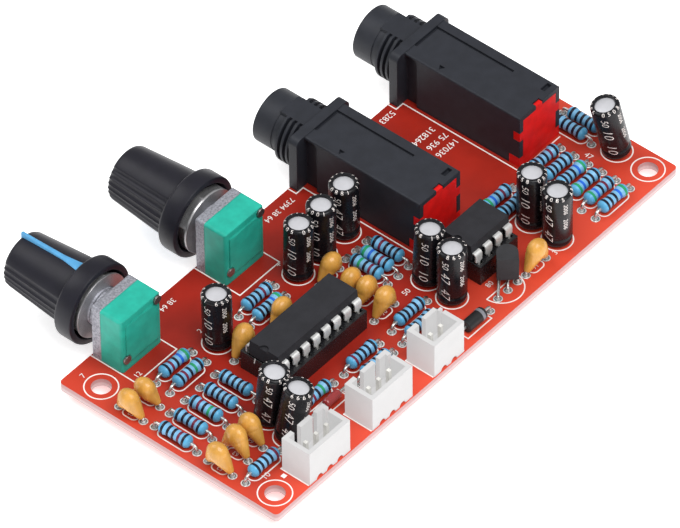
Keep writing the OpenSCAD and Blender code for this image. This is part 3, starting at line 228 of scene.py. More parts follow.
MATERIALS = {
    "board": board_material(),
    "print": surface("white_print", (0.84, 0.78, 0.75), 0.6, edge=0),
    "solder": solder_material(),
    "jack_black": surface("jack_plastic", (0.019, 0.021, 0.028), 0.5, grain=0.12, depth=0.006, edge=0.18,
                          shine=0.3),
    "cap_red": surface("cap_plastic", (0.66, 0.008, 0.007), 0.45, grain=0.3, depth=0.004, edge=0.15,
                       shine=0.2),
    "contact": surface("spring_metal", (0.75, 0.73, 0.68), 0.3, 1.0),
    "die_cast": surface("die_cast_metal", (0.32, 0.325, 0.365), 0.55, 0.6, grain=0.22, depth=0.05,
                        mottle=0.3, patch=0.35, edge=0.15),
    "case_green": surface("case_plastic", (0.016, 0.39, 0.295), 0.42, grain=0.2, depth=0.004, edge=0.4,
                          shine=0.3),
    "wafer": surface("wafer_laminate", (0.25, 0.13, 0.05), 0.6),
    "rivet": surface("rivet_metal", (0.3, 0.27, 0.26), 0.35, 0.9, edge=0.12),
    "fastener": surface("dull_plating", (0.6, 0.6, 0.61), 0.3, 0.85, grain=0.15, depth=0.006,
                        edge=0.15),
    "shaft": surface("turned_metal", (0.6, 0.6, 0.59), 0.3, 1.0),
    "wiper": surface("spring_brass", (0.7, 0.5, 0.2), 0.3, 1.0),
    "knob_black": surface("knob_plastic", (0.009, 0.0085, 0.0145), 0.42, grain=0.1, depth=0.005,
                          edge=0.15, shine=0.28),
    "pointer_blue": surface("pointer_plastic", (0.09, 0.34, 0.62), 0.45, edge=0.1, shine=0.3),
    # Painted light: the nylon glows, standing in for light through it and lifting its shaded faces, though
    # it is no lamp.
    "header_white": surface("header_nylon_painted_glow", (0.28, 0.275, 0.275), 0.5, grain=0.2, depth=0.003,
                            mottle=0.03, edge=0.12, glow=0.36),
    "pin": surface("pin_tin", (0.75, 0.74, 0.7), 0.5, 0.3),
    "chip_grey": surface("chip_moulding", (0.022, 0.022, 0.026), 0.7, grain=0.15, depth=0.01, edge=0.1,
                         shine=0.2),
    "tinned": surface("tinned_wire", (0.6, 0.6, 0.59), 0.3, 1.0, grain=0.1, depth=0.006),
    "lead_tin": surface("matte_tin", (0.72, 0.72, 0.71), 0.5, 0.6, grain=0.2, depth=0.01, edge=0.06),
    "socket_black": surface("socket_plastic", (0.009, 0.009, 0.0105), 0.27, grain=0.5, depth=0.012,
                            edge=0.2, shine=0.5),
    "can": surface("can_aluminium", (0.6, 0.6, 0.63), 0.45, 0.4, grain=0.25, depth=0.01, mottle=0.05),
    "sleeve": surface("sleeve_film", (0.006, 0.006, 0.008), 0.28, grain=0.8, depth=0.02, edge=0,
                      shine=0.27),
    "bung": surface("bung_rubber", (0.02, 0.02, 0.02), 0.8),
    "ceramic": surface("dipped_coating", (0.61, 0.305, 0.057), 0.27, grain=0.7, depth=0.07,
                       mottle=0.12, patch=1.5, edge=0, stretch=(1, 1, 0.2), shine=0.5),
    "resistor_blue": surface("resistor_lacquer", (0.09, 0.36, 0.6), 0.35, grain=0.4,
                             depth=0.012, edge=0, shine=0.4),
    "resistor_pale": surface("resistor_lacquer_pale", (0.17, 0.41, 0.64), 0.35, grain=0.4,
                             depth=0.012, edge=0, shine=0.4),
    "band_dark": surface("band_dark", (0.007, 0.008, 0.02), 0.35, edge=0, shine=0.3),
    "band_brown": surface("band_brown", (0.14, 0.014, 0.04), 0.35, edge=0, shine=0.3),
    "band_green": surface("band_green", (0.02, 0.29, 0.12), 0.35, edge=0, shine=0.3),
    "band_blue": surface("band_blue", (0.015, 0.12, 0.58), 0.35, edge=0, shine=0.3),
    "transistor_black": surface("transistor_epoxy", (0.03, 0.03, 0.033), 0.7, grain=0.2, depth=0.035,
                                edge=0.12, shine=0.25),
    "diode_black": surface("diode_epoxy", (0.012, 0.012, 0.013), 0.45, edge=0.1, shine=0.3),
    "diode_silver": surface("diode_band", (0.18, 0.185, 0.21), 0.45, edge=0),
    "diode_glass": surface("diode_glass", (0.28, 0.025, 0.025), 0.12, coat=0.5, edge=0),
}

for part in frame["record"]["subparts"]:
    mesh = frame["nodes"][part["node"]].data
    mesh.materials.clear()
    mesh.materials.append(MATERIALS[part["material_slot"]])


# Stage, light and camera

CAMERA_AZIMUTH, CAMERA_ELEVATION, CAMERA_ROLL = 130.651, 45.523, -0.721  # degrees
CAMERA_DISTANCE = 1537.69
CAMERA_TARGET = Vector((1.649, -6.540, TOP))
FOCAL_PIXELS = 9523.1
PHOTO_WIDTH = 680  # pixels
SENSOR_WIDTH = 36
CLIP_NEAR, CLIP_FAR = 0.1, 20  # metres
# Name, azimuth and elevation, distance and width in metres, power
LIGHTS = [("key", 170, 62, 0.9, 0.7, 7), ("rear", 20, 50, 0.9, 0.6, 2.5)]
FLOOR_HALF = 3.0  # metres
FLOOR_GAP = 0.0001  # metres below the lowest lead
SKY_POWER = 0.5


def outward(azimuth, elevation):
    """The direction from the board towards a camera or a light, from its angles in degrees."""
    a, e = math.radians(azimuth), math.radians(elevation)
    return Vector((math.sin(a) * math.cos(e), -math.cos(a) * math.cos(e), math.sin(e)))


def add_camera():
    """Stands where the photograph was taken from."""
    back = outward(CAMERA_AZIMUTH, CAMERA_ELEVATION)
    level = outward(CAMERA_AZIMUTH + 90, 0)
    roll = math.radians(CAMERA_ROLL)
    right = math.cos(roll) * level + math.sin(roll) * back.cross(level)
    up = back.cross(right)
    data = bpy.data.cameras.new("camera")
    data.sensor_width = SENSOR_WIDTH
    data.lens = FOCAL_PIXELS / PHOTO_WIDTH * SENSOR_WIDTH
    data.clip_start = CLIP_NEAR
    data.clip_end = CLIP_FAR
    camera = bpy.data.objects.new("camera", data)
    place = (CAMERA_TARGET + back * CAMERA_DISTANCE) * MM
    turn = Matrix((right, up, back)).transposed().to_4x4()
    camera.matrix_world = Matrix.Translation(place) @ turn
    bpy.context.scene.collection.objects.link(camera)
    bpy.context.scene.camera = camera


def add_light(name, azimuth, elevation, distance, width, power):
    """A round soft light that looks at the middle of the board."""
    data = bpy.data.lights.new(name, "AREA")
    data.shape = "DISK"
    data.size = width
    data.energy = power
    back = outward(azimuth, elevation)
    light = bpy.data.objects.new(name, data)
    light.location = back * distance
    light.rotation_mode = "QUATERNION"
    light.rotation_quaternion = (-back).to_track_quat("-Z", "Y")
    bpy.context.scene.collection.objects.link(light)


def add_stage():
    """A pale floor just under the leads, and an even sky."""
    mesh = bpy.data.meshes.new("floor")
    height = cad_low.z - FLOOR_GAP
    corners = [(x * FLOOR_HALF, y * FLOOR_HALF, height) for x, y in ((-1, -1), (1, -1), (1, 1), (-1, 1))]
    mesh.from_pydata(corners, [], [(0, 1, 2, 3)])
    floor = bpy.data.objects.new("floor", mesh)
    bpy.context.scene.collection.objects.link(floor)
    mesh.materials.append(surface("floor_paper", (0.93, 0.93, 0.93), 0.9, grain=1.0, depth=0.002,
                                  mottle=0.005, edge=0, glow=0.6))
    world = bpy.data.worlds.new("studio")
    bpy.context.scene.world = world
    world.use_nodes = True
    sky = world.node_tree.nodes["Background"]
    sky.inputs["Color"].default_value = (1, 1, 1, 1)
    sky.inputs["Strength"].default_value = SKY_POWER


add_camera()
add_stage()
for light in LIGHTS:
    add_light(*light)
bpy.context.scene.view_settings.view_transform = "Standard"


# Forms

class Shape:
    """Collects many small forms, given in millimetres, into one mesh."""

    def __init__(self):
        self.points, self.faces, self.slots = [], [], []

    def add(self, points, faces, slots=0, place=Matrix()):
        start = len(self.points)
        self.points += [place @ Vector(p) for p in points]
        self.faces += [[start + i for i in face] for face in faces]
        self.slots += [slots] * len(faces) if isinstance(slots, int) else list(slots)

    def lathe(self, profile, place=Matrix(), segments=32, slots=0):
        """Turns (radius, height) points about +Z. A list of slots has one for each step."""
        rings, points, faces, marks = [], [], [], []
        for radius, height in profile:
            if radius == 0:
                rings.append([len(points)] * segments)
                points.append((0, 0, height))
                continue
            rings.append(range(len(points), len(points) + segments))
            for i in range(segments):
                angle = 2 * math.pi * i / segments
                points.append((radius * math.cos(angle), radius * math.sin(angle), height))
        for step, (low, high) in enumerate(zip(rings, rings[1:])):
            for i in range(segments):
                j = (i + 1) % segments
                face = list(dict.fromkeys((low[i], low[j], high[j], high[i])))
                if len(face) > 2:
                    faces.append(face)
                    marks.append(slots if isinstance(slots, int) else slots[step])
        self.add(points, faces, marks, place)

    def make(self, name, body, materials, replaced=(), sharp=38, slot=None):
        """Makes the object, smooth but for its sharp edges, and hangs it on its body."""
        mesh = bpy.data.meshes.new(name)
        mesh.from_pydata([p * MM for p in self.points], [], self.faces)
        for kind in materials:
            mesh.materials.append(MATERIALS[kind])
        mesh.polygons.foreach_set("material_index", self.slots)
        mesh.shade_smooth()
        mesh.set_sharp_from_angle(angle=math.radians(sharp))
        made = bpy.data.objects.new(name, mesh)
        bpy.context.scene.collection.objects.link(made)
        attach(made, body)
        if replaced:
            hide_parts(*replaced)


def at(x, y, z, turn=0):
    """A place over the board, turned about +Z by so many degrees."""
    return Matrix.Translation((x, y, z)) @ Matrix.Rotation(math.radians(turn), 4, "Z")


LAID_DOWN = Matrix.Rotation(math.radians(90), 4, "Y")  # turns +Z to +X
TO_FRONT = Matrix.Rotation(math.radians(90), 4, "X")  # turns +Z to -Y, and +Y to +Z


def stepped(points, marks):
    """Adds to a (place, radius) outline the places where a mark begins or ends."""
    wanted = sorted(set([p for p, _ in points] + list(marks)))
    made = []
    for place in wanted:
        for (a, low), (b, high) in zip(points, points[1:]):
            if a <= place <= b:
                made.append((low + (high - low) * (place - a) / (b - a), place))
                break
    return made


# Resistors: x, y, turn, and their five bands: d dark, r red-brown, g green, b blue

RESISTOR_AXIS = TOP + 1.3
RESISTOR_SEGMENTS = 36
# The near half of the outline: place along the axis, and radius
RESISTOR_HALF = [(-3.15, 0.0), (-3.15, 0.3), (-3.08, 0.62), (-2.95, 0.86), (-2.75, 1.04), (-2.45, 1.14),
                 (-2.1, 1.15), (-1.85, 1.11), (-1.62, 1.02), (-1.4, 0.97), (-1.2, 0.955)]
BAND_STEP = 1.0875
BAND_HALF = 0.25
BAND_SLOTS = ["resistor_blue", "resistor_pale", "band_dark", "band_brown", "band_green", "band_blue"]
BAND_CODES = "drgb"
RESISTORS = [
    (36.4, -11.85, 0, "gbdrd"), (36.6, -8.75, 0, "dgdrd"), (33.45, -1.4, 90, "ddddd"),
    (37.125, -1.4, 90, "ddddd"), (40.8, -1.4, 90, "drdgd"), (44.475, -1.4, 90, "dddrd"),
    (48.15, -1.4, 90, "dddrd"), (43.8, 13.25, 0, "rdddd"), (16.7, -11.35, 0, "drddd"),
    (17.3, -8.5, 0, "gbddd"), (-4.95, -2.05, 90, "drddd"), (-2.2, -1.95, 90, "gbdrd"),
    (0.3, -2.05, 90, "dgdrd"), (15.8, 9.95, 0, "ddddr"), (27.2, 9.95, 0, "dgdrd"),
    (3.6, 9.7, 0, "ddddd"), (4.6, 12.75, 0, "ddddd"), (15.95, 12.95, 0, "ddddd"),
    (-48.2, 3.7, 90, "ddddd"), (-45.45, 3.05, 90, "ddddd"), (-37.1, 4.25, 0, "drddd"),
    (-37.1, 7.15, 0, "ddddd"), (-37.1, 10.05, 0, "gbddd"), (-37.1, 12.95, 0, "dddbg"),
    (-37.1, 15.85, 0, "drdbg"), (-37.1, 18.75, 0, "gbddd"), (-25.1, 4.15, 0, "drdbg"),
    (-25.3, 7.1, 0, "ddddd")]


def band_slot(bands, place):
    """The material at a place along a resistor, measured from its middle."""
    nearest = round(place / BAND_STEP)
    if abs(nearest) <= 2 and abs(place - nearest * BAND_STEP) < BAND_HALF:
        return 2 + BAND_CODES.index(bands[nearest + 2])
    return 1 if abs(place) < 2 * BAND_STEP else 0


def add_resistors():
    """All resistors in one mesh, with their bands as materials."""
    outline = RESISTOR_HALF + [(-p, r) for p, r in reversed(RESISTOR_HALF)]
    edges = [i * BAND_STEP + side * BAND_HALF for i in range(-2, 3) for side in (-1, 1)]
    end = RESISTOR_HALF[0][0]
    profile = [(0, end)] + stepped(outline[1:-1], edges) + [(0, -end)]
    shape = Shape()
    for x, y, turn, bands in RESISTORS:
        slots = [band_slot(bands, (low + high) / 2) for (_, low), (_, high) in zip(profile, profile[1:])]
        shape.lathe(profile, at(x, y, RESISTOR_AXIS, turn) @ LAID_DOWN, RESISTOR_SEGMENTS, slots)
    shape.make("resistors", "board", BAND_SLOTS,
               ["resistor_bodies", "dark_bands", "brown_bands", "green_bands", "blue_bands"])


# Ceramic capacitors: x, y, turn, lean and how much lower each sits

DROPS = [(48.4, -10.55, 90, 8, 0.3), (44.35, -10.55, 90, 12, 0.8), (48.4, 8.1, 90, 8, 0),
         (44.4, 7.9, 90, -3, 0), (40.7, 7.9, 90, 3, 0), (26.6, -5.5, 0, 3, 0),
         (17.2, -5.6, 0, 0, 1.3), (5.1, -5.9, 0, -8, 0.4), (5.1, -1.4, 0, -2, 1.3),
         (5.1, 2, 0, 0, 1), (5.5, 6, 0, -3, 0.3), (-18.05, 18.2, 0, -3, 0)]
DROP_MIDDLE = 4.1  # height over the board
DROP_SIZE = (1.98, 1.62, 2.0)  # half its length, thickness and height
DROP_ROOT = (0.75, 0.8)  # out from the middle line and down from the middle of the drop
DROP_LEAD = Vector((2.55, 0, 0.5))  # where a lead bends up out of the board
BARE_LEAD = 0.3
DRIP_R, ROOT_R = 0.56, 1.5
FLATNESS = (0.96, 1.0)  # between which the drops differ in thickness
SKIN_VOXEL = 0.13
MELT_ROUNDS = 7
MELT_FACTOR = 0.5


def drop_form(middle):
    """One dipped drop with its two drips, melted into one skin."""
    form = bmesh.new()
    body = Matrix.Translation((0, 0, middle)) @ Matrix.Diagonal((*DROP_SIZE, 1))
    bmesh.ops.create_uvsphere(form, u_segments=48, v_segments=24, radius=1, matrix=body)
    for side in (-1, 1):
        foot = Vector((side * DROP_LEAD.x, 0, DROP_LEAD.z))
        high = Vector((side * DROP_ROOT[0], 0, middle - DROP_ROOT[1]))
        low = foot + BARE_LEAD * (high - foot).normalized()
        turn = (high - low).to_track_quat("Z", "Y").to_matrix().to_4x4()
        place = Matrix.Translation((low + high) / 2) @ turn
        bmesh.ops.create_cone(form, cap_ends=True, segments=24, radius1=DRIP_R, radius2=ROOT_R,
                              depth=(high - low).length, matrix=place)
    mesh = bpy.data.meshes.new("drop_form")
    form.to_mesh(mesh)
    form.free()
    maker = bpy.data.objects.new("drop_form", mesh)
    bpy.context.scene.collection.objects.link(maker)
    skin = maker.modifiers.new("skin", "REMESH")
    skin.mode = "VOXEL"
    skin.voxel_size = SKIN_VOXEL
    melt = maker.modifiers.new("melt", "SMOOTH")
    melt.iterations = MELT_ROUNDS
    melt.factor = MELT_FACTOR
    made = bpy.data.meshes.new_from_object(maker.evaluated_get(bpy.context.evaluated_depsgraph_get()))
    points = [v.co.copy() for v in made.vertices]
    faces = [list(f.vertices) for f in made.polygons]
    bpy.data.objects.remove(maker)
    return points, faces


def add_drops():
    """The dipped capacitors, each leaning about the line where its leads bend."""
    shape = Shape()
    for x, y, turn, lean, sink in DROPS:
        points, faces = drop_form(DROP_MIDDLE - sink)
        flat = random.uniform(*FLATNESS)
        tilt = Matrix.Rotation(math.radians(lean), 4, "X")
        lift = Matrix.Translation((0, 0, DROP_LEAD.z))
        place = at(x, y, TOP, turn) @ lift @ tilt @ lift.inverted()
        shape.add([Vector((p.x, p.y * flat, p.z)) for p in points], faces, 0, place)
    shape.make("dipped_drops", "board", ["ceramic"], ["ceramic_drops"])


# Electrolytic capacitors: x, y, lean of the top along x and y, its number, and where it is printed

CANS = [(-47, 11.6, 1.9, -1.3, "10", 30), (-25.5, 11.2, 0, 0, "10", 12), (-25.1, 16.9, 0.2, 0.1, "47", 3),
        (-4.7, 6.5, -0.5, 0.2, "10", 21), (-4.1, 12.2, 0, 0, "47", 12), (-4.4, -10.6, 0.2, 0, "47", 15),
        (1.8, -10.4, 0, 0.1, "10", 15), (7.6, -10.3, -0.3, 0, "10", 12), (27.6, -10.2, 0.2, 0, "10", 3),
        (35.1, 6.9, -0.2, 1.2, "47", 23), (36.1, 12, -1.1, 1.3, "47", 18)]
CAN_HEIGHT = 11.0
CAN_LIFT = 0.55
CAN_SEGMENTS = 48
SLEEVE_R = 2.5
# Radius and height from the foot of the can
SLEEVE = [(2.36, 0.1), (2.44, 0.12), (2.48, 0.22), (2.5, 0.4), (2.5, 1.0), (2.46, 1.15), (2.34, 1.32),
          (2.32, 1.45), (2.34, 1.58), (2.46, 1.75), (2.5, 1.9), (2.5, 10.45), (2.47, 10.66), (2.38, 10.84),
          (2.24, 10.95), (2.06, 11.0), (1.86, 11.0), (1.76, 10.96), (1.72, 10.88), (1.72, 10.6)]
CAN_TOP = [(1.76, 10.6), (1.62, 10.64), (0, 10.66)]
# The rounded upper edge of the sleeve, from the side inwards, where small characters stand
SHOULDER = [(2.5, 10.25), (2.5, 10.45), (2.47, 10.66), (2.38, 10.84), (2.24, 10.95), (2.06, 11.0),
            (1.86, 11.0)]
SHOULDER_R = 2.3
SHOULDER_PLACES, SHOULDER_RUN = 15, 5  # round the top, and every how many one stays empty
INK = 0.012  # how far print stands proud of the sleeve
# Size of the characters, slant and how much thinner they are
NUMBER_FORM, VOLTS_FORM, SMALL_FORM, DIGIT_FORM = (2.3, 0.25, 0.03), (1.7, 0.25, 0.02), (1.15, 0.2), (1.0,)
NUMBER_HEIGHTS, VOLTS_HEIGHTS, SMALL_HEIGHTS = (6.2, 2.6), (9.0,), (8.6, 5.2)
SMALL_TURN = 68  # degrees on from the number
STRIP_WIDTH, STRIPS = 0.2, 8  # of the strips that characters are cut into, to each side


def can_place(x, y, lean_x, lean_y):
    """The foot of a can, tilted so that its top leans over by so much."""
    way = Vector((lean_x, lean_y, CAN_HEIGHT)).normalized()
    angle = math.acos(way.z)
    about = Vector((-way.y, way.x, 0)) if angle > 0.0001 else Vector((0, 0, 1))
    return Matrix.Translation((x, y, TOP + CAN_LIFT)) @ Matrix.Rotation(angle, 4, about)


def words_form(words, size, slant=0.0, thin=0.0):
    """Flat faces of a few characters, centred, cut into strips so that they can be bent."""
    curve = bpy.data.curves.new("words", "FONT")
    curve.body = words
    curve.size = size
    curve.shear = slant
    curve.offset = -thin
    curve.align_x, curve.align_y = "CENTER", "CENTER"
    curve.resolution_u = 3
    maker = bpy.data.objects.new("words", curve)
    bpy.context.scene.collection.objects.link(maker)
    mesh = bpy.data.meshes.new_from_object(maker.evaluated_get(bpy.context.evaluated_depsgraph_get()))
    bpy.data.objects.remove(maker)
    form = bmesh.new()
    form.from_mesh(mesh)
    for i in range(-STRIPS, STRIPS + 1):
        geometry = form.verts[:] + form.edges[:] + form.faces[:]
        bmesh.ops.bisect_plane(form, geom=geometry, plane_co=(0, i * STRIP_WIDTH, 0), plane_no=(0, 1, 0))
    form.verts.index_update()
    points = [v.co.copy() for v in form.verts]
    faces = [[v.index for v in f.verts] for f in form.faces]
    form.free()
    return points, faces


def on_sleeve(points, angle, height):
    """Wraps a flat form round the sleeve, reading downwards, just proud of it."""
    r = SLEEVE_R + INK
    made = []
    for p in points:
        around = math.radians(angle) + p.y / r
        made.append(Vector((r * math.cos(around), r * math.sin(around), height - p.x)))
    return made


def on_shoulder(points, angle):
    """Bends a flat form along the rounded upper edge of the sleeve, upright towards the top."""
    lengths = [math.dist(a, b) for a, b in zip(SHOULDER, SHOULDER[1:])]
    made = []
    for p in points:
        way = p.y + sum(lengths) / 2
        step = 0
        while step < len(lengths) - 1 and way > lengths[step]:
            way -= lengths[step]
            step += 1
        (r, z), (next_r, next_z) = SHOULDER[step], SHOULDER[step + 1]
        share = way / lengths[step]
        out, up = (next_z - z) / lengths[step], (r - next_r) / lengths[step]
        r += share * (next_r - r) + INK * out
        z += share * (next_z - z) + INK * up
        around = math.radians(angle) + p.x / SHOULDER_R
        made.append(Vector((r * math.cos(around), r * math.sin(around), z)))
    return made


def add_cans():
    """Sleeves, can tops, and the plain numbers printed on the sleeves."""
    sleeves, tops, marks = Shape(), Shape(), Shape()
    numbers = {n: words_form(n, *NUMBER_FORM) for n in ("10", "47")}
    volts, small = words_form("50", *VOLTS_FORM), words_form("2006", *SMALL_FORM)
    digits = [words_form(d, *DIGIT_FORM) for d in "05168"]
    for x, y, lean_x, lean_y, number, angle in CANS:
        place = can_place(x, y, lean_x, lean_y)
        sleeves.lathe(SLEEVE, place, CAN_SEGMENTS)
        tops.lathe(CAN_TOP, place, CAN_SEGMENTS)
        rows = ((numbers[number], angle, NUMBER_HEIGHTS), (volts, angle, VOLTS_HEIGHTS),
                (small, angle + SMALL_TURN, SMALL_HEIGHTS))
        for (points, faces), turn, heights in rows:
            for height in heights:
                marks.add(on_sleeve(points, turn, height), faces, 0, place)
        start = random.uniform(0, 360)
        for i in range(SHOULDER_PLACES):
            if (i + 1) % SHOULDER_RUN == 0:
                continue
            points, faces = random.choice(digits)
            marks.add(on_shoulder(points, start + 360 / SHOULDER_PLACES * i), faces, 0, place)
    sleeves.make("printed_sleeves", "board", ["sleeve"], ["capacitor_sleeves"])
    tops.make("can_tops", "board", ["can"], ["capacitor_cans"])
    marks.make("sleeve_marks", "board", ["print"])


# Chip leads: each a ribbon that comes out of the chip, bends down and narrows into the socket

CHIPS = [("long", 19.7, 1.15, 8), ("short", -13.8, 9.05, 4)]  # name, x, y and leads a side
CHIP_PITCH = 2.54
LEAD_HEIGHT = TOP + 5.95
LEAD_THICKNESS = 0.25
# Distance from the middle line, height from the shoulder, tilt and width
LEAD_WAY = [(3.1, 0, 0, 1.6), (3.42, 0, 0, 1.6), (3.55, -0.03, 20, 1.6), (3.67, -0.1, 42, 1.6),
            (3.76, -0.22, 66, 1.6), (3.81, -0.38, 90, 1.6), (3.81, -1.6, 90, 1.56), (3.81, -1.72, 90, 1.3),
            (3.81, -1.82, 90, 0.7), (3.81, -1.95, 90, 0.5), (3.81, -3.9, 90, 0.5)]


def ribbon_form(way):
    """A flat strip that runs through the given stations, in the yz plane."""
    points, faces = [], []
    for y, z, tilt, width in way:
        t = math.radians(tilt)
        out = Vector((0, math.sin(t), math.cos(t))) * LEAD_THICKNESS / 2
        for side, face in ((-1, -1), (1, -1), (1, 1), (-1, 1)):
            points.append(Vector((side * width / 2, y, z)) + face * out)
    last = 4 * (len(way) - 1)
    for start in range(0, last, 4):
        for i in range(4):
            j = (i + 1) % 4
            faces.append([start + i, start + j, start + 4 + j, start + 4 + i])
    return points, faces + [[3, 2, 1, 0], [last, last + 1, last + 2, last + 3]]


def add_chip_leads():
    """Both rows of leads of each chip."""
    points, faces = ribbon_form(LEAD_WAY)
    for name, x, y, pins in CHIPS:
        shape = Shape()
        for turn in (0, 180):
            for i in range(pins):
                along = Matrix.Translation(((i - (pins - 1) / 2) * CHIP_PITCH, 0, 0))
                shape.add(points, faces, 0, at(x, y, LEAD_HEIGHT, turn) @ along)
        shape.make(name + "_lead_frame", "board", ["lead_tin"], [name + "_chip_leads"],
                   sharp=30, slot="tinned")


# Small white numbers and marks: words, x, y and turn on the board, and the size of the characters

BOARD_WORDS = [("5283", -29.0, -22.3, 0, 1.7), ("318264", -29.4, -14.9, 0, 1.7),
               ("75 936", -29.9, -12.4, 0, 1.7), ("147036", -29.8, -10.2, 0, 1.7),
               ("7394 38 64", -1.4, -22.0, 0, 1.5), ("38 64", 26.4, -22.0, 0, 1.5),
               ("7", 47.0, -22.0, 180, 1.5), ("10", 45.0, 14.75, 180, 1.5), ("47", -43.1, 8.8, 90, 1.5),
               ("50", -0.3, 5.8, 180, 1.5), ("80", -10.2, 15.0, 180, 1.4), ("+", 8.1, -14.0, 180, 1.6),
               ("2", 27.5, -14.1, 180, 1.4), ("12", 41.2, -15.4, 180, 1.4),
               ("25", 12.4, -12.9, 180, 1.4), ("3", -22.5, 18.6, 180, 1.4),
               ("1", 31.2, 16.4, 180, 1.5), ("3", 2.4, 16.2, 180, 1.5)]
FIRST_DROP_NUMBER = 60
DROP_WORD_SIZE = 1.1
PRINT_LIFT = 0.035
PIN_MARK = (43.2, 16.9)  # the square beside the first pin of a header
PIN_MARK_WIDTH = 0.8
SOCKET_DIGIT = Matrix.Translation((29.53, -0.9, TOP + 3.45))  # on the end face of the long socket
SOCKET_DIGIT_FORM = (1.7, 0.2, -0.03)


def square_form(width):
    """A flat square round the origin."""
    half = width / 2
    return [(-half, -half, 0), (half, -half, 0), (half, half, 0), (-half, half, 0)], [[0, 1, 2, 3]]


def add_board_words():
    """Plain numbers on the board and on the end of the long socket."""
    shape = Shape()
    for words, x, y, turn, size in BOARD_WORDS:
        points, faces = words_form(words, size)
        shape.add(points, faces, 0, at(x, y, TOP + PRINT_LIFT, turn))
    for i, (x, y, turn, *_) in enumerate(DROPS):
        points, faces = words_form(str(FIRST_DROP_NUMBER + i), DROP_WORD_SIZE)
        shape.add(points, faces, 0, at(x, y, TOP + PRINT_LIFT, turn + 180))
    shape.add(*square_form(PIN_MARK_WIDTH), 0, at(*PIN_MARK, TOP + PRINT_LIFT))
    points, faces = words_form("1", *SOCKET_DIGIT_FORM)
    shape.add([(0, p.x, p.y) for p in points], faces, 0, SOCKET_DIGIT)
    shape.make("board_words", "board", ["print"])


# Glass diode: a bead with round ends

DIODE_PLACE = at(26.1, 12.4, TOP + 0.95)
DIODE = [(0, -1.8), (0.35, -1.79), (0.6, -1.7), (0.75, -1.5), (0.8, -1.25), (0.8, 1.25), (0.75, 1.5),
         (0.6, 1.7), (0.35, 1.79), (0, 1.8)]


def add_glass_diode():
    """The bead of the glass diode."""
    shape = Shape()
    shape.lathe(DIODE, DIODE_PLACE @ LAID_DOWN)
    shape.make("diode_bead", "board", ["diode_glass"], ["glass_diode_body"])


# Knobs: x of the shaft, angle of the pointer from +Z towards +X, body and number

KNOBS = [(37.85, 0, "first_knob", "1"), (12.45, 174, "second_knob", "2")]
SHAFT_HEIGHT = TOP + 6.35
KNOB_RIM = -26.2  # y of the skirt's open rim
KNOB_SEGMENTS, HOLLOW_SEGMENTS = 288, 64
# Radius and height from the rim
KNOB_OUTSIDE = [(6.28, 0.06), (6.36, 0.0), (7.13, 0.0), (7.27, 0.08), (7.35, 0.28), (7.35, 3.05),
                (7.3, 3.25), (7.18, 3.39), (6.97, 3.45), (6.15, 3.46), (6.0, 3.5), (5.93, 3.65),
                (5.92, 3.85), (5.92, 4.15), (5.9, 4.65), (5.78, 6.65), (5.62, 8.65), (5.45, 10.65),
                (5.29, 12.65), (5.12, 14.65), (5.03, 15.8), (4.94, 16.1), (4.82, 16.32), (4.64, 16.45),
                (4.42, 16.48), (4.27, 16.42), (4.12, 16.3), (3.6, 16.26), (1.7, 16.24), (0, 16.24)]
KNOB_INSIDE = [(0, 13.3), (3.02, 13.3), (3.02, 4.2), (4.2, 4.2), (4.2, 2.85), (6.2, 2.85), (6.2, 0.2),
               (6.28, 0.06)]
FLUTE_FIRST, FLUTE_STEP, FLUTE_COUNT, FLUTE_DEPTH = 62, 12, 6, 0.27
FLUTE_START, FLUTE_RUN = 3.75, 0.7  # height where the flutes begin, and in which they reach their depth
CROWN_R = 4.5  # inside this radius the end of the grip is smooth
# Half the width of the pointer at each height from the rim, and how far its middle is to the side
POINTER = [(3.48, 1.1), (4.7, 0.87), (5.75, 0.7), (6.8, 0.56), (7.5, 0.46), (11.1, 0.34), (13.6, 0.27),
           (16.42, 0.24)]
POINTER_SIDE = -0.08
POINTER_LAYERS = [(4.4, 0.0), (5.92, 0.0), (5.98, 0.06)]  # distance from the axis, and inset


def flute_cut(angle, height):
    """How deep the grip is cut at an angle from the pointer and a height from the rim."""
    along = min(1, max(0, (height - FLUTE_START) / FLUTE_RUN))
    place = (abs(angle) - FLUTE_FIRST) / FLUTE_STEP
    if not 0 <= place <= FLUTE_COUNT:
        return 0
    across = 2 * (place % 1) - 1
    return FLUTE_DEPTH * along * (1 - across * across)


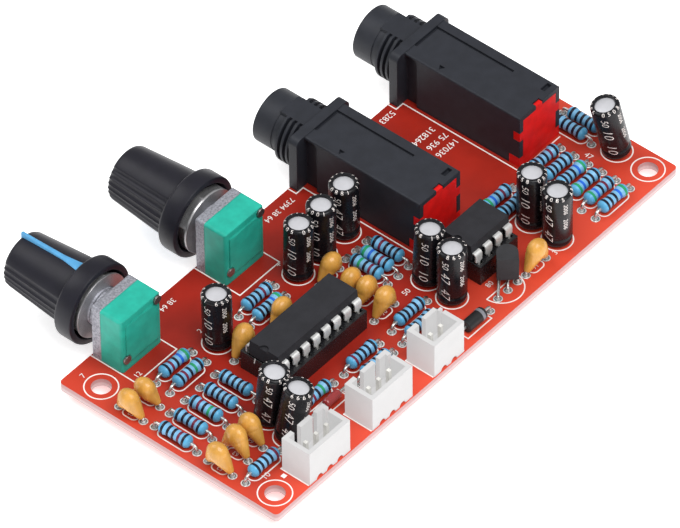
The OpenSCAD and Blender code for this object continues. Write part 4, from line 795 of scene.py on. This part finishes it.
def pointer_form():
    """The blue strip on the grip: wide at the skirt and narrow towards the tip."""
    points, faces = [], []
    rim = [(1, h, w) for h, w in POINTER] + [(-1, h, w) for h, w in reversed(POINTER)]
    low, high = POINTER[0][0], POINTER[-1][0]
    for far, inset in POINTER_LAYERS:
        for side, height, width in rim:
            points.append((POINTER_SIDE + side * (width - inset), far,
                           min(high - inset, max(low + inset, height))))
    count = len(rim)
    for layer in range(len(POINTER_LAYERS) - 1):
        for i in range(count):
            j = (i + 1) % count
            a, b = layer * count, (layer + 1) * count
            faces.append([a + i, b + i, b + j, a + j])
    top = (len(POINTER_LAYERS) - 1) * count
    half = len(POINTER)
    for i in range(half - 1):
        faces.append([top + i, top + count - 1 - i, top + count - 2 - i, top + i + 1])
    return points, faces


def grip_form():
    """The outside of a knob, its grip fluted on both sides of the pointer."""
    points, faces = [], []
    for radius, height in KNOB_OUTSIDE:
        for i in range(KNOB_SEGMENTS):
            angle = 360 * i / KNOB_SEGMENTS
            signed = (angle + 180) % 360 - 180
            r = radius - flute_cut(signed, height) if radius > CROWN_R else radius
            points.append((r * math.sin(math.radians(angle)), r * math.cos(math.radians(angle)), height))
    for row in range(len(KNOB_OUTSIDE) - 1):
        a, b = row * KNOB_SEGMENTS, (row + 1) * KNOB_SEGMENTS
        for i in range(KNOB_SEGMENTS):
            j = (i + 1) % KNOB_SEGMENTS
            faces.append([a + i, b + i, b + j, a + j])
    return points, faces


def add_knob(x, pointer, body, number):
    """A knob with its skirt, hollow and pointer, turned so that the pointer stands at its angle."""
    place = Matrix.Translation((x, KNOB_RIM, SHAFT_HEIGHT)) @ TO_FRONT
    place = place @ Matrix.Rotation(math.radians(-pointer), 4, "Z")
    shape = Shape()
    shape.add(*grip_form(), 0, place)
    shape.lathe(KNOB_INSIDE, place, HOLLOW_SEGMENTS)
    shape.make("knob_shell_" + number, body, ["knob_black"], ["knob_" + number], sharp=30)
    strip = Shape()
    strip.add(*pointer_form(), 0, place)
    strip.make("pointer_strip_" + number, body, ["pointer_blue"], [f"knob_{number}_pointer"], sharp=50)


add_resistors()
add_drops()
add_cans()
add_chip_leads()
add_board_words()
add_glass_diode()
for knob in KNOBS:
    add_knob(*knob)
